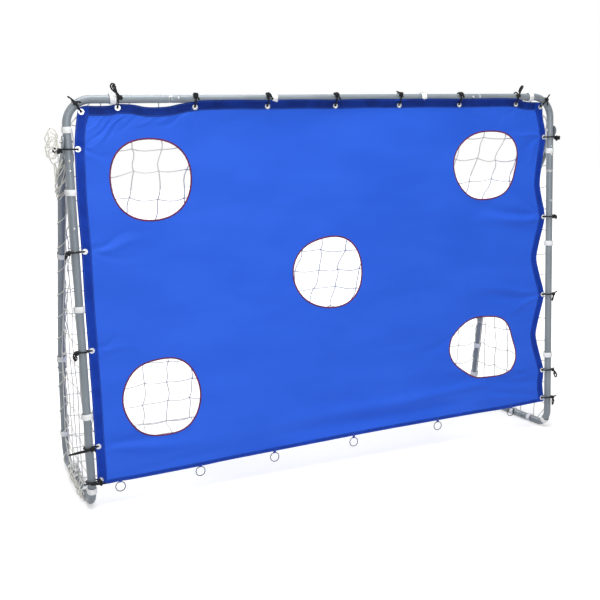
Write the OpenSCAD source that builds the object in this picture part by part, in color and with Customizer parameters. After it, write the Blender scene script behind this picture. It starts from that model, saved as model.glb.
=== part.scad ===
// Garden football goal with a laced-in target sheet.
// Millimetres, +X to the right seen from the kicker, +Y to the back, +Z up.
// The origin is on the ground, in the middle of the goal's box.

/* [Frame] */
// Width over the posts
goal_w = 2130; // [1900:10:2600]
// Height over the crossbar
goal_h = 1520; // [1400:10:1700]
// Outside diameter of the steel tube
tube_d = 30; // [28:1:32]
// Wall of the steel tube
tube_wall = 1.2; // [1:0.1:1.8]
// Centre-line radius of the top corner bends
top_bend_r = 90; // [85:5:120]
// Centre-line radius of the foot bends
foot_bend_r = 70; // [60:5:90]
// Centre-line radius of the rear ground bends
rear_bend_r = 80; // [65:5:100]
// Depth from the posts to the point where base and stay would meet
base_reach = 614.5; // [560:0.5:700]
// Height of the shallow bend in the stay
stay_fold_z = 500; // [460:10:560]
// Lean of the stay below its shallow bend, in degrees
lower_tilt = 10.8; // [8:0.2:14]
// Centre-line radius of the shallow bend
stay_bend_r = 120; // [90:10:150]
// Drop of the stay's bolt below the top of the goal
stay_bolt_drop = 160; // [140:5:200]

/* [Tube joints] */
// Distance from the tie next to it to each seam in the crossbar
seam_past_tie = 94; // [80:2:110]
// Drop of the seam in each post below the top of the goal
post_seam_drop = 336; // [310:2:350]
// Depth of the seam in each base tube behind the post
base_seam_y = 210; // [190:5:240]
// Height of the seam in each stay
stay_seam_z = 420; // [380:5:430]
// Length of a swaged spigot
spigot_l = 60; // [45:5:80]
// Length of the cone that leads to a spigot
swage_l = 3; // [2:0.5:5]
// Running gap between a spigot or sleeve and the tube round it
spigot_gap = 0.2; // [0.15:0.05:0.3]
// Wall of the inner sleeve in each post
sleeve_wall = 1.5; // [1.2:0.1:2]
// Reach of the sleeve above the seam
sleeve_up = 130; // [120:5:150]
// Reach of the sleeve below the seam
sleeve_down = 155; // [145:5:170]
// Lower of the two bolts above the seam
seam_bolt_up = 71; // [60:1:80]
// Distance between the two bolts above the seam
seam_bolt_pitch = 35; // [25:1:40]
// Bolt below the seam
seam_bolt_down = 133; // [100:1:135]

/* [Fasteners] */
// Shank diameter of the bolts
bolt_d = 6; // [5:0.5:6]
// Clearance of a bolt in its hole, on the diameter
bolt_gap = 0.4; // [0.3:0.1:0.8]
// Diameter of the domed bolt head
head_d = 12; // [10:0.5:13]
// Height of the domed bolt head
head_h = 3.5; // [3:0.5:4.5]
// Width across the flats of the nuts
nut_af = 10; // [9:0.5:11]
// Height of the nuts
nut_h = 5; // [4:0.5:6]
// Length of thread that stands out of a nut
thread_out = 3; // [2:0.5:5]
// Thickness of the washers
washer_t = 1.2; // [1:0.1:1.6]

/* [Pressed stay ends] */
// Thickness of the pressed end
tongue_t = 4; // [3:0.5:5]
// Width of the pressed end
tongue_w = 42; // [38:1:44]
// Flat length below the bolt
tongue_l = 48; // [46:1:54]
// Length from flat to full round
press_l = 70; // [60:5:90]
// Gap between the pressed end and the post
tongue_gap = 0.3; // [0.2:0.1:0.6]

/* [Target sheet] */
// Thickness of the sheet cloth
sheet_t = 1.6; // [1:0.2:2]
// Thickness of the turned hem on the front
hem_t = 0.8; // [0.6:0.1:1.2]
// Width of the top hem
top_hem = 28; // [24:1:36]
// Width of the side hems
side_hem = 32; // [26:1:40]
// Width of the bottom hem
bottom_hem = 14; // [12:1:20]
// Height of the sheet's lower edge at the left post
sheet_low_left = 92; // [80:2:140]
// Height of the sheet's lower edge at the right post
sheet_low_right = 132; // [80:2:150]
// How far the left side is drawn in between two eyelets
left_scallop = 6; // [2:1:24]
// How far the right side, which hangs slacker, is drawn in
right_scallop = 38; // [20:1:44]
// How far the top edge is drawn in between two eyelets
top_scallop = 4; // [2:1:8]
// Diameter of the five target holes
hole_d = 300; // [240:5:320]
// Mean distance of the outer holes from the sheet's sides
hole_side_in = 294; // [270:1:360]
// Sideways place of the hole pattern
hole_shift = -30; // [-40:5:40]
// Drop of the upper holes below the top of the goal
upper_hole_drop = 302; // [280:2:340]
// Height of the lower holes
lower_hole_z = 406; // [380:2:440]
// Width of the binding round each hole
binding_w = 5; // [4:0.5:8]

/* [Eyelets and ties] */
// Distance of the side eyelets from the post axis
side_eyelet = 34; // [32:1:38]
// Distance of the top eyelets from the crossbar axis
top_eyelet = 30.5; // [30:0.5:34]
// Distance of the corner eyelets from their neighbours
corner_step = 130; // [110:5:150]
// Inner gaps in the top row of eyelets
top_gaps = 6; // [4:1:8]
// Inner gaps in each side column of eyelets
side_gaps = 3; // [2:1:4]
// Cloth between an eyelet's centre and the edge
eyelet_edge = 11; // [10:1:14]
// Bore of the eyelets
eyelet_bore = 12; // [11:0.5:13]
// Flange diameter of the eyelets
eyelet_d = 21; // [19:1:23]
// Thickness of the eyelet metal
eyelet_t = 0.8; // [0.6:0.1:1]
// Diameter of the tie cord
tie_d = 5; // [4:0.5:5]
// Radius of the knot on each tie
knot_r = 4.5; // [4:0.5:6]

/* [Peg rings] */
// Outside diameter of the rings
ring_d = 40; // [34:1:50]
// Wire diameter of the rings
ring_wire = 3.2; // [2.5:0.1:3.5]
// Distances of the rings from the sheet's left side
ring_in = [84, 400, 714, 1073, 1485, 1872]; // [60:1:1960]
// Thickness of the webbing tab that holds a ring
tab_t = 1; // [0.8:0.1:1.4]
// Width of the webbing tab
tab_w = 10; // [8:1:14]
// Height of the tab on the hem
tab_h = 12; // [10:1:18]
// Free room for the wire inside the tab
tab_play = 1.3; // [1.1:0.1:1.8]

/* [Net] */
// Thickness and width of a net strand
strand = 2.4; // [2:0.1:3]
// Columns of mesh across the back net
mesh_columns = 19; // [15:2:19]
// Rows of mesh above the fold in the stays
mesh_rows_upper = 9; // [7:1:9]
// Rows of mesh below the fold in the stays
mesh_rows_lower = 4; // [2:1:4]
// Rows of mesh in the upright strip under the crossbar
mesh_rows_top = 2; // [1:1:2]
// Rows of mesh in the ground skirt
mesh_rows_skirt = 3; // [2:1:5]
// Mesh size of the side nets
side_mesh = 100; // [90:2:120]
// Height of the first strand in the side nets
side_mesh_z = 15; // [5:1:60]
// Height of the fold from back net to ground skirt
skirt_z = 124; // [118:2:160]
// Depth of the skirt's front edge behind the posts
skirt_front_y = 360; // [150:10:420]

/* [Net straps] */
// Width of a hook-and-loop strap
strap_w = 22; // [16:1:26]
// Thickness of a strap
strap_t = 1.5; // [1:0.1:2]
// Distances of the two middle straps past the ties on their left
middle_strap_past_tie = [26, 112];
// Distance of the left corner's strap from the post
left_corner_strap_in = 166; // [160:1:170]
// Distance of the right corner's strap from the post
right_corner_strap_in = 110; // [108:1:114]
// Heights of the two lower straps on the left post
left_post_strap_z = [359, 759];
// Drop of the left post's third strap below the seam
seam_strap_drop = 3; // [0:1:6]
// Drop of the left post's top strap below the top of the goal
corner_strap_drop = 120; // [118:1:124]
// Heights of the two lower straps on the right post
right_post_strap_z = [348, 861];
// Places of the lowest strap on each post, as a turn round the foot bend
foot_strap_turn = [10, 43];
// Heights of the straps on the left stay
left_stay_strap_z = [140, 478, 938];
// Heights of the straps on the right stay
right_stay_strap_z = [140, 296, 650, 1040];
// Depths of the straps on the left base tube
left_base_strap_y = [150, 320, 460];
// Depths of the straps on the right base tube
right_base_strap_y = [125, 255, 430];

/* [Hidden] */

steel = "#8f979d";
zinc = "#d5d8da";
cloth = "#2f66dc";
hem_cloth = "#1745a8";
cord_black = "#1c1c1f";
net_white = "#eceae2";
fn = 48;
hull_fn = 32;
cut = 1;
press_step = 0.3;
lap = 0.3;
slim = 0.02;

// Frame geometry, with depths counted from the posts' axis
tube_r = tube_d / 2;
bore_r = tube_r - tube_wall;
spigot_r = bore_r - spigot_gap;
skin_gap = 0.1;
wrap_r = tube_r + skin_gap + strand + skin_gap;
bare_r = tube_r + skin_gap;
strap_r = wrap_r + strap_t;
post_x = goal_w / 2 - tube_r;
bar_z = goal_h - tube_r;
base_z = bare_r + strap_t;
post_seam_z = goal_h - post_seam_drop;
stay_bolt_z = goal_h - stay_bolt_drop;
stay_fold_y = base_reach - (stay_fold_z - base_z) * tan(lower_tilt);
stay_tilt = atan2(stay_fold_y, stay_bolt_z - stay_fold_z);
stay_seam_y = stay_fold_y + (stay_fold_z - stay_seam_z) * tan(lower_tilt);
tongue_x = post_x + tube_r + tongue_gap + tongue_t / 2;
post_tongue = tube_r + tongue_gap + tongue_t;
rear_turn = 90 + lower_tilt;
rear_reach = base_reach - rear_bend_r * tan(rear_turn / 2) + rear_bend_r + tube_r;
front_reach = wrap_r + tie_d;
front_y = -(rear_reach - front_reach) / 2;

// Sheet geometry
sheet_x = post_x - side_eyelet + eyelet_edge;
sheet_top = bar_z - top_eyelet + eyelet_edge;
corner_x = post_x - top_bend_r;
corner_z = bar_z - top_bend_r;
corner_r = top_bend_r - tube_r - 3;
corner_angle = 53;
corner_eyelet_r = corner_r - eyelet_edge - 2;
hole_r = hole_d / 2;
hole_x = sheet_x - hole_side_in;
hole_z = (goal_h - upper_hole_drop + lower_hole_z) / 2;
hole_rise = (goal_h - upper_hole_drop - lower_hole_z) / 2;
hem_front = -sheet_t / 2 - hem_t;
eyelet_x = post_x - side_eyelet;
eyelet_top_z = bar_z - top_eyelet;
corner_eyelet_x = corner_x + corner_eyelet_r * cos(corner_angle);
corner_eyelet_z = corner_z + corner_eyelet_r * sin(corner_angle);
top_row_half = corner_eyelet_x - corner_step;
crossbar_half = top_row_half * (1 - 2 / top_gaps) + seam_past_tie;
side_top_z = corner_eyelet_z - corner_step;

// Ring geometry
ring_r = (ring_d - ring_wire) / 2;
tab_in = ring_wire / 2 + tab_play;
tab_out = tab_in + tab_t;
tab_y = hem_front - tab_t + tab_out;
tab_drop = tab_out + 1;

// Net geometry
net_front = tube_r + skin_gap + strand / 2;
net_half = post_x - tube_r - skin_gap;
skirt_y = base_reach - (skirt_z - base_z) * tan(lower_tilt);
side_net_top = post_seam_z + seam_bolt_up - nut_af;
strip_z = stay_bolt_z - net_front / tan(stay_tilt);

function side_sign(side) = side == "left" ? -1 : 1;
function unit(v) = v / norm(v);
function sheet_low(x) =
  (sheet_low_left + sheet_low_right) / 2 + (sheet_low_right - sheet_low_left) / 2 * x / sheet_x;
function side_low_eyelet(side) = sheet_low(side_sign(side) * eyelet_x) + eyelet_edge + 6;
function side_eyelet_z(side) = let (low = side_low_eyelet(side), first = low + corner_step)
  [low, for (i = [0 : side_gaps]) first + (side_top_z - first) * i / side_gaps];
function top_row_x() = [for (i = [0 : top_gaps]) -top_row_half + 2 * top_row_half * i / top_gaps];
function post_strap_z(side) = side == "left"
  ? concat(left_post_strap_z, [post_seam_z - seam_strap_drop, goal_h - corner_strap_drop])
  : concat(right_post_strap_z, [post_seam_z + seam_bolt_up + seam_bolt_pitch / 2]);
function stay_strap_z(side) = side == "left" ? left_stay_strap_z : right_stay_strap_z;
function base_strap_y(side) = side == "left" ? left_base_strap_y : right_base_strap_y;
function ring_x(i) = -sheet_x + ring_in[i - 1];
function ring_z(i) = sheet_low(ring_x(i)) - tab_drop;
function stay_y(z) = z > stay_fold_z
  ? stay_fold_y - (z - stay_fold_z) * tan(stay_tilt)
  : stay_fold_y + (stay_fold_z - z) * tan(lower_tilt);
function stay_x(z) = z > stay_fold_z
  ? post_x + (tongue_x - post_x) * (z - stay_fold_z) / (stay_bolt_z - stay_fold_z)
  : post_x;

// A child on the right-hand side, or its mirror image on the left
module on_side(side) mirror([side == "left" ? 1 : 0, 0, 0]) children();

// Turns +Z into direction d at point p
module aim(p, d)
  translate(p) rotate([0, acos(d.z / norm(d)), atan2(d.y, d.x)]) children();

// Round bar from p to q
module bar(p, q, r) aim(p, q - p) cylinder(r = r, h = norm(q - p), $fn = fn);

// Puts a child at a, looking along +Z to b, with +X on the side to which the run turns for c
module run_frame(a, b, c) {
  u = unit(b - a);
  m = unit(c - b - ((c - b) * u) * u);
  n = cross(u, m);
  multmatrix([[m.x, n.x, u.x, a.x], [m.y, n.y, u.y, a.y], [m.z, n.z, u.z, a.z], [0, 0, 0, 1]]) children();
}

// Straight of length l that leaves a bend along +Z, with a swaged neck past its end if asked
module arm(l, r, neck_r, necked, over) {
  cylinder(r = r, h = necked ? l - swage_l : l + over, $fn = fn);
  if (necked) {
    translate([0, 0, l - swage_l]) cylinder(r1 = r, r2 = neck_r, h = swage_l, $fn = fn);
    translate([0, 0, l]) cylinder(r = neck_r, h = spigot_l + over, $fn = fn);
  }
}

// Frame at the end of a bend that starts at the origin along +Z and turns to +X
module past_bend(turn, bend) translate([bend, 0, 0]) rotate([0, turn, 0]) translate([-bend, 0, 0]) children();

// Bend that laps a little into the straights at its ends, where it is a hair slimmer than they are
module bend(turn, bend, r) {
  more = lap / bend * 180 / PI;
  multmatrix([[-1, 0, 0, bend], [0, 0, 1, 0], [0, 1, 0, 0], [0, 0, 0, 1]]) rotate([0, 0, -more])
    rotate_extrude(angle = turn + 2 * more, $fn = 2 * fn) translate([bend, 0]) circle(r = r - slim, $fn = fn);
}

// Solid round run from a past the bend at b to c
module run(a, b, c, bend, r, neck_r, neck_a, neck_c, over) run_frame(a, b, c) {
  turn = round(1000 * acos(unit(b - a) * unit(c - b))) / 1000;
  trim = bend * tan(turn / 2);
  translate([0, 0, norm(b - a) - trim]) {
    rotate([180, 0, 0]) arm(norm(b - a) - trim, r, neck_r, neck_a, over);
    bend(turn, bend, r);
    past_bend(turn, bend) arm(norm(c - b) - trim, r, neck_r, neck_c, over);
  }
}

// Tube with one bend, open at both ends, with a swaged neck at either end if asked
module bent_tube(a, b, c, bend, neck_a = false, neck_c = false) difference() {
  run(a, b, c, bend, tube_r, spigot_r, neck_a, neck_c, 0);
  run(a, b, c, bend, bore_r, spigot_r - tube_wall, neck_a, neck_c, cut);
}

// Hole for one bolt through p along d
module bolt_hole(p, d)
  aim(p - unit(d) * tube_d, d) cylinder(d = bolt_d + bolt_gap, h = 2 * tube_d, $fn = fn);

// Domed bolt with the underside of its head at p and its shank along d
module dome_bolt(p, d, length) aim(p, d) {
  cap_r = (head_d * head_d / 4 + head_h * head_h) / (2 * head_h);
  cylinder(d = bolt_d, h = length, $fn = fn);
  translate([0, 0, -head_h]) intersection() {
    translate([0, 0, cap_r]) sphere(r = cap_r, $fn = fn);
    cylinder(d = head_d + 1, h = head_h, $fn = fn);
  }
}

// Hexagon nut that sits on p and is bored for the bolt
module hex_nut(p, d) aim(p, d) difference() {
  cylinder(d = nut_af / cos(30), h = nut_h, $fn = 6);
  translate([0, 0, -cut]) cylinder(d = bolt_d + 0.1, h = nut_h + 2 * cut, $fn = fn);
}

// Points of the side frame, on the right-hand side
function at(x, y, z) = [x, front_y + y, z];
post_top = at(post_x, 0, post_seam_z);
foot_corner = at(post_x, 0, base_z);
base_seam = at(post_x, base_seam_y, base_z);
rear_corner = at(post_x, base_reach, base_z);
stay_seam = at(post_x, stay_seam_y, stay_seam_z);
stay_fold = at(post_x, stay_fold_y, stay_fold_z);
stay_axis = [0, -sin(stay_tilt), cos(stay_tilt)];
stay_bolt = at(tongue_x, 0, stay_bolt_z);
stay_round = stay_bolt - stay_axis * (tongue_l + press_l);
across = [1, 0, 0];
back = [0, 1, 0];

// Places of the joint bolts
crossbar_bolt = at(crossbar_half - spigot_l / 2, 0, bar_z);
base_bolt = at(post_x, base_seam_y - spigot_l / 2, base_z);
stay_seam_bolt = stay_seam + unit(stay_fold - stay_seam) * spigot_l / 3;
function post_bolt_z() = [post_seam_z - seam_bolt_down, post_seam_z + seam_bolt_up,
  post_seam_z + seam_bolt_up + seam_bolt_pitch];

// Corner tube: swaged arm, top bend and leg
module corner_tube(side) color(steel) on_side(side) difference() {
  bent_tube(at(crossbar_half, 0, bar_z), at(post_x, 0, bar_z), post_top, top_bend_r, neck_a = true);
  bolt_hole(crossbar_bolt, back);
  for (i = [1, 2]) bolt_hole(at(post_x, 0, post_bolt_z()[i]), back);
  bolt_hole(at(post_x, 0, stay_bolt_z), across);
}

// Straight middle tube of the crossbar
module crossbar_tube() color(steel) difference() {
  bar(at(-crossbar_half, 0, bar_z), at(crossbar_half, 0, bar_z), tube_r);
  bar(at(-crossbar_half - cut, 0, bar_z), at(crossbar_half + cut, 0, bar_z), bore_r);
  for (s = [-1, 1]) bolt_hole(at(s * crossbar_bolt.x, 0, bar_z), back);
}

// Inner sleeve that joins the leg to the post tube
module post_sleeve(side) color(zinc) on_side(side) difference() {
  bar(post_top - [0, 0, sleeve_down], post_top + [0, 0, sleeve_up], spigot_r);
  bar(post_top - [0, 0, sleeve_down + cut], post_top + [0, 0, sleeve_up + cut], spigot_r - sleeve_wall);
  for (z = post_bolt_z()) bolt_hole(at(post_x, 0, z), back);
}

// Post with the foot bend and the front of the base
module post_tube(side) color(steel) on_side(side) difference() {
  bent_tube(post_top - [0, 0, skin_gap], foot_corner, base_seam, foot_bend_r);
  bolt_hole(at(post_x, 0, post_bolt_z()[0]), back);
  bolt_hole(base_bolt, across);
}

// Rear of the base with the rear bend and the lower stay, swaged at both ends
module base_tube(side) color(steel) on_side(side) difference() {
  bent_tube(base_seam, rear_corner, stay_seam, rear_bend_r, neck_a = true, neck_c = true);
  bolt_hole(base_bolt, across);
  bolt_hole(stay_seam_bolt, across);
}

// Upper stay: shallow bend, leaning tube and an end pressed flat on the post's outer side
module stay_tube(side) color(steel) on_side(side) difference() {
  union() {
    bent_tube(stay_seam, stay_fold, stay_round, stay_bend_r);
    hull() {
      aim(stay_round, stay_fold - stay_round) cylinder(r = tube_r - press_step, h = 2, $fn = hull_fn);
      pressed_frame() translate([-tongue_w / 2 + press_step, -tongue_l, press_step / 3])
        cube([tongue_w - 2 * press_step, 2, tongue_t - 2 * press_step / 3]);
    }
    pressed_frame() linear_extrude(tongue_t) {
      circle(d = tongue_w, $fn = 2 * fn);
      translate([-tongue_w / 2, -tongue_l]) square([tongue_w, tongue_l]);
    }
  }
  bolt_hole(stay_bolt, across);
  bolt_hole(stay_seam_bolt, across);
}

// Local frame of the pressed end: +Y up the stay, +Z away from the post, origin at the bolt
module pressed_frame()
  translate(stay_bolt - across * tongue_t / 2)
    multmatrix([[0, 0, 1, 0], [cos(stay_tilt), stay_axis.y, 0, 0], [sin(stay_tilt), stay_axis.z, 0, 0],
      [0, 0, 0, 1]]) children();

// Front-to-back bolts and nuts in the crossbar
front_seat = tube_r + 0.05;
through = 2 * front_seat + nut_h + thread_out;
module crossbar_bolts() color(zinc)
  for (s = [-1, 1]) dome_bolt(at(s * crossbar_bolt.x, -front_seat, bar_z), back, through);
module crossbar_nuts() color(zinc)
  for (s = [-1, 1]) hex_nut(at(s * crossbar_bolt.x, front_seat, bar_z), back);

// Front-to-back bolts and nuts in the posts
module post_bolts(side) color(zinc) on_side(side)
  for (z = post_bolt_z()) dome_bolt(at(post_x, -front_seat, z), back, through);
module post_nuts(side) color(zinc) on_side(side)
  for (z = post_bolt_z()) hex_nut(at(post_x, front_seat, z), back);

// Sideways bolts and nuts in the base seams and in the stay seams
module base_bolts() color(zinc)
  for (side = ["left", "right"]) on_side(side) dome_bolt(base_bolt + across * front_seat, -across, through);
module base_nuts() color(zinc)
  for (side = ["left", "right"]) on_side(side) hex_nut(base_bolt - across * front_seat, -across);
module stay_seam_bolts() color(zinc) for (side = ["left", "right"])
  on_side(side) dome_bolt(stay_seam_bolt + across * front_seat, -across, through);
module stay_seam_nuts() color(zinc) for (side = ["left", "right"])
  on_side(side) hex_nut(stay_seam_bolt - across * front_seat, -across);

// Bolts through post and pressed stay end, with the nuts outside
module stay_end_bolts() color(zinc) for (side = ["left", "right"]) on_side(side)
  dome_bolt(at(post_x - front_seat, 0, stay_bolt_z), across,
    front_seat + post_tongue + washer_t + nut_h + thread_out);
module stay_end_washers() color(zinc) for (side = ["left", "right"]) on_side(side)
  aim(at(post_x + post_tongue, 0, stay_bolt_z), across) difference() {
    cylinder(d = head_d + 2, h = washer_t, $fn = fn);
    translate([0, 0, -cut]) cylinder(d = bolt_d + bolt_gap, h = washer_t + 2 * cut, $fn = fn);
  }
module stay_end_nuts() color(zinc) for (side = ["left", "right"]) on_side(side)
  hex_nut(at(post_x + post_tongue + washer_t, 0, stay_bolt_z), across);

// Stands a drawing up in the goal's front plane, y being the depth of its front face
module upright(y, t) translate([0, front_y + y + t, 0]) rotate([90, 0, 0]) linear_extrude(t) children();

// Outline of the laced sheet, drawn in between the eyelets, from the right foot round to the left one
bay_steps = 8;
arc_steps = 6;
arc_low = acos((sheet_x - corner_x) / corner_r);
arc_high = asin((sheet_top - corner_z) / corner_r);
function dip(step, depth) = 4 * depth * (step / bay_steps) * (1 - step / bay_steps);
function side_run(side) = [for (i = [1 : side_gaps], step = [0 : bay_steps - 1])
  let (z = side_eyelet_z(side), depth = side == "left" ? left_scallop : right_scallop)
  [sheet_x - dip(step, depth), z[i] + (z[i + 1] - z[i]) * step / bay_steps]];
function arc_run() = [for (step = [0 : arc_steps]) let (a = arc_low + (arc_high - arc_low) * step / arc_steps)
  [corner_x + corner_r * cos(a), corner_z + corner_r * sin(a)]];
function top_run() = [for (i = [top_gaps : -1 : 1], step = [0 : bay_steps - 1]) let (x = top_row_x())
  [x[i] + (x[i - 1] - x[i]) * step / bay_steps, sheet_top - dip(step, top_scallop)]];
function side_line(side) = concat([[sheet_x, sheet_low(side_sign(side) * sheet_x)]], side_run(side),
  [[sheet_x, side_top_z]], arc_run());
function mirrored_back(v) = [for (i = [len(v) - 1 : -1 : 0]) [-v[i].x, v[i].y]];
module sheet_outline() polygon(concat(side_line("right"), top_run(), [[top_row_x()[0], sheet_top]],
  mirrored_back(side_line("left"))));

// Runs its child at each eyelet
module at_eyelets() {
  for (x = top_row_x()) translate([x, eyelet_top_z]) children();
  for (s = [-1, 1]) translate([s * corner_eyelet_x, corner_eyelet_z]) children();
  for (side = ["left", "right"], z = side_eyelet_z(side))
    translate([side_sign(side) * eyelet_x, z]) children();
}
barrel_r = eyelet_bore / 2 + eyelet_t;
module eyelet_holes() at_eyelets() circle(r = barrel_r + 0.1, $fn = fn);

// Runs its child at each target hole
module at_targets() translate([hole_shift, hole_z]) {
  children();
  for (x = [-hole_x, hole_x], z = [-hole_rise, hole_rise]) translate([x, z]) children();
}

// Cloth of the target sheet
module target_panel() color(cloth) upright(-sheet_t / 2, sheet_t) difference() {
  sheet_outline();
  at_targets() circle(r = hole_r, $fn = 2 * fn);
  eyelet_holes();
}

// Hem shapes, each lying on the front of the cloth
hem_reach = max(left_scallop, right_scallop) + side_hem;
module side_hem_shape(side) mirror([side == "right" ? 1 : 0, 0]) intersection() {
  difference() {
    mirror([side == "right" ? 1 : 0, 0]) sheet_outline();
    translate([side_hem, 0]) mirror([side == "right" ? 1 : 0, 0]) sheet_outline();
  }
  translate([-sheet_x - cut, 0]) square([hem_reach + cut, goal_h]);
}
module side_hems() for (side = ["left", "right"]) side_hem_shape(side);
module hem_top() color(hem_cloth) upright(hem_front, hem_t) difference() {
  intersection() {
    sheet_outline();
    translate([-sheet_x, sheet_top - top_hem - top_scallop]) square([2 * sheet_x, 2 * top_hem]);
  }
  translate([0, -top_hem]) sheet_outline();
  side_hems();
  eyelet_holes();
}
module hem_bottom() color(hem_cloth) upright(hem_front, hem_t) difference() {
  intersection() {
    sheet_outline();
    square([2 * sheet_x, 2 * max(sheet_low_left, sheet_low_right)], center = true);
    polygon([[-sheet_x, 0], [sheet_x, 0], [sheet_x, sheet_low_right + bottom_hem],
      [-sheet_x, sheet_low_left + bottom_hem]]);
  }
  side_hems();
}
module side_hem_piece(side) color(hem_cloth) upright(hem_front, hem_t) difference() {
  side_hem_shape(side);
  eyelet_holes();
}

// Narrow bindings sewn round the target holes
module hole_bindings() color("#8c2346") upright(hem_front, hem_t) at_targets() difference() {
  circle(r = hole_r + binding_w, $fn = 2 * fn);
  circle(r = hole_r, $fn = 2 * fn);
}

// Pressed eyelet: a barrel with a flange on both faces of the hemmed cloth
eyelet_grip = sheet_t + hem_t;
module eyelet() rotate_extrude($fn = fn) polygon([
  [eyelet_bore / 2, -eyelet_t], [eyelet_d / 2, -eyelet_t], [eyelet_d / 2, 0], [barrel_r, 0],
  [barrel_r, eyelet_grip], [eyelet_d / 2, eyelet_grip], [eyelet_d / 2, eyelet_grip + eyelet_t],
  [eyelet_bore / 2, eyelet_grip + eyelet_t]]);
module eyelets() color(zinc) translate([0, front_y + sheet_t / 2, 0]) rotate([90, 0, 0])
  at_eyelets() eyelet();

// Cord that leaves the origin along +Z and turns to +X; each step is [turn, radius, run]
module cord(steps, r, i = 0) if (i < len(steps)) {
  s = steps[i];
  if (s[0] > 0) bend(s[0], s[1], r);
  past_bend(s[0], s[1]) {
    if (s[2] > 0) cylinder(r = r, h = s[2], $fn = hull_fn);
    translate([0, 0, s[2]]) cord(steps, r, i + 1);
  }
}

// Lays a cord into a tie's plane, leaving p along +Y and turning to -X
module lay_cord(p) multmatrix([[-1, 0, 0, p.x], [0, 0, 1, p.y], [0, 1, 0, 0], [0, 0, 0, 1]]) children();

// Tie in its own plane: the tube's axis at the origin, the eyelet at -X, both cord ends in the knot
tie_r = tie_d / 2;
tie_big = wrap_r + tie_r;
tie_snug = tube_r + skin_gap + tie_r;
tie_small = tie_r + eyelet_grip / 2 + eyelet_t + 0.6;
end_gap = 2;
module knot(p) translate([p.x + knot_r - tie_r, p.y, 0]) sphere(r = knot_r, $fn = fn);
module tie(reach, big) {
  lean = round(100 * asin((big - tie_small) / (reach - tie_small))) / 100;
  small = (big - reach * sin(lean)) / (1 - sin(lean));
  run = (reach - small) * cos(lean);
  lay_cord([big, 0])
    cord([[90 + lean, big, run], [180 - 2 * lean, small, run], [90 + lean - end_gap, big, 0]], tie_r);
  knot([big, 0]);
}

// Tie that also goes round the pressed end of the stay; circles are [x, y, radius]
tongue_half = (tongue_w / 2 + tie_r) / cos(stay_tilt);
tongue_mid = (stay_bolt_z - side_top_z) * tan(stay_tilt);
hug = 4;
whole_turn = 360;
hug_x = post_tongue + tie_r + 0.4 - hug;
function link(p, q) = [q.x - p.x, q.y - p.y];
function link_angle(p, q) = let (v = link(p, q)) atan2(v.y, v.x) - acos((p.z - q.z) / norm(v));
function link_run(p, q) = let (v = link(p, q)) sqrt(v * v - (p.z - q.z) * (p.z - q.z));
module stay_tie(reach) {
  c = [[hug_x, tongue_mid + tongue_half, hug], [tie_small - reach, 0, tie_small], [0, 0, tie_big],
    [hug_x, tongue_mid - tongue_half, hug]];
  half = link_run(c[3], c[0]) / 2;
  steps = [for (i = [0 : 3]) let (before = c[(i + 3) % 4], next = c[(i + 1) % 4],
      turn = link_angle(c[i], next) - link_angle(before, c[i]))
    [round(100 * ((turn + 2 * whole_turn) % whole_turn)) / 100, c[i].z,
      i < 3 ? link_run(c[i], next) : half - end_gap / 4]];
  lay_cord([hug_x + hug, tongue_mid]) cord(concat([[0, 1, half]], steps), tie_r);
  knot([hug_x + hug, tongue_mid]);
}

module top_ties() color(cord_black) {
  for (x = top_row_x()) translate(at(x, 0, bar_z)) rotate([0, -90, 0]) tie(top_eyelet, tie_big);
  for (side = ["left", "right"]) on_side(side)
    translate(at(corner_x + top_bend_r * cos(corner_angle), 0, corner_z + top_bend_r * sin(corner_angle)))
      rotate([0, -corner_angle, 0]) tie(top_bend_r - corner_eyelet_r, tie_snug);
}
module side_ties(side) color(cord_black) on_side(side) for (z = side_eyelet_z(side))
  translate(at(post_x, 0, z))
    if (z < side_top_z - 1) tie(side_eyelet, tie_big);
    else stay_tie(side_eyelet);

// Webbing tabs: a flat tail on the hem and a tunnel for the ring's wire
module ring_tabs() color(hem_cloth) for (i = [1 : 6]) translate(at(ring_x(i) - tab_w / 2, tab_y, ring_z(i)))
  rotate([90, 0, 90]) linear_extrude(tab_w) difference() {
    union() {
      circle(r = tab_out, $fn = fn);
      translate([-tab_out, 0]) square([tab_t, tab_drop + tab_h]);
    }
    circle(r = tab_in, $fn = fn);
  }

// Steel ring that hangs in its tab
module peg_ring(i) color(steel) translate(at(ring_x(i), tab_y, ring_z(i) - ring_r))
  rotate([90, 0, 0]) rotate_extrude($fn = 2 * fn) translate([ring_r, 0]) circle(d = ring_wire, $fn = hull_fn);

// Flat strand from p to q
module strand_2d(p, q) translate(p) rotate(atan2(q.y - p.y, q.x - p.x))
  translate([0, -strand / 2]) square([norm(q - p), strand]);

// Net cloth of full rows and columns between x = -half and x = half, from y = 0 to y = h
module mesh_2d(half, h, columns, rows) {
  for (i = [0 : columns]) translate([-half + (2 * half - strand) * i / columns, 0]) square([strand, h]);
  for (j = [0 : rows]) translate([-half, (h - strand) * j / rows]) square([2 * half, strand]);
}

// Stands net cloth between two points of the side view, given as [depth, height]
module net_between(low, high)
  translate([0, front_y + low.x, low.y]) rotate([atan2(high.y - low.y, high.x - low.x), 0, 0])
    translate([0, 0, -strand / 2]) linear_extrude(strand) children();

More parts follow.
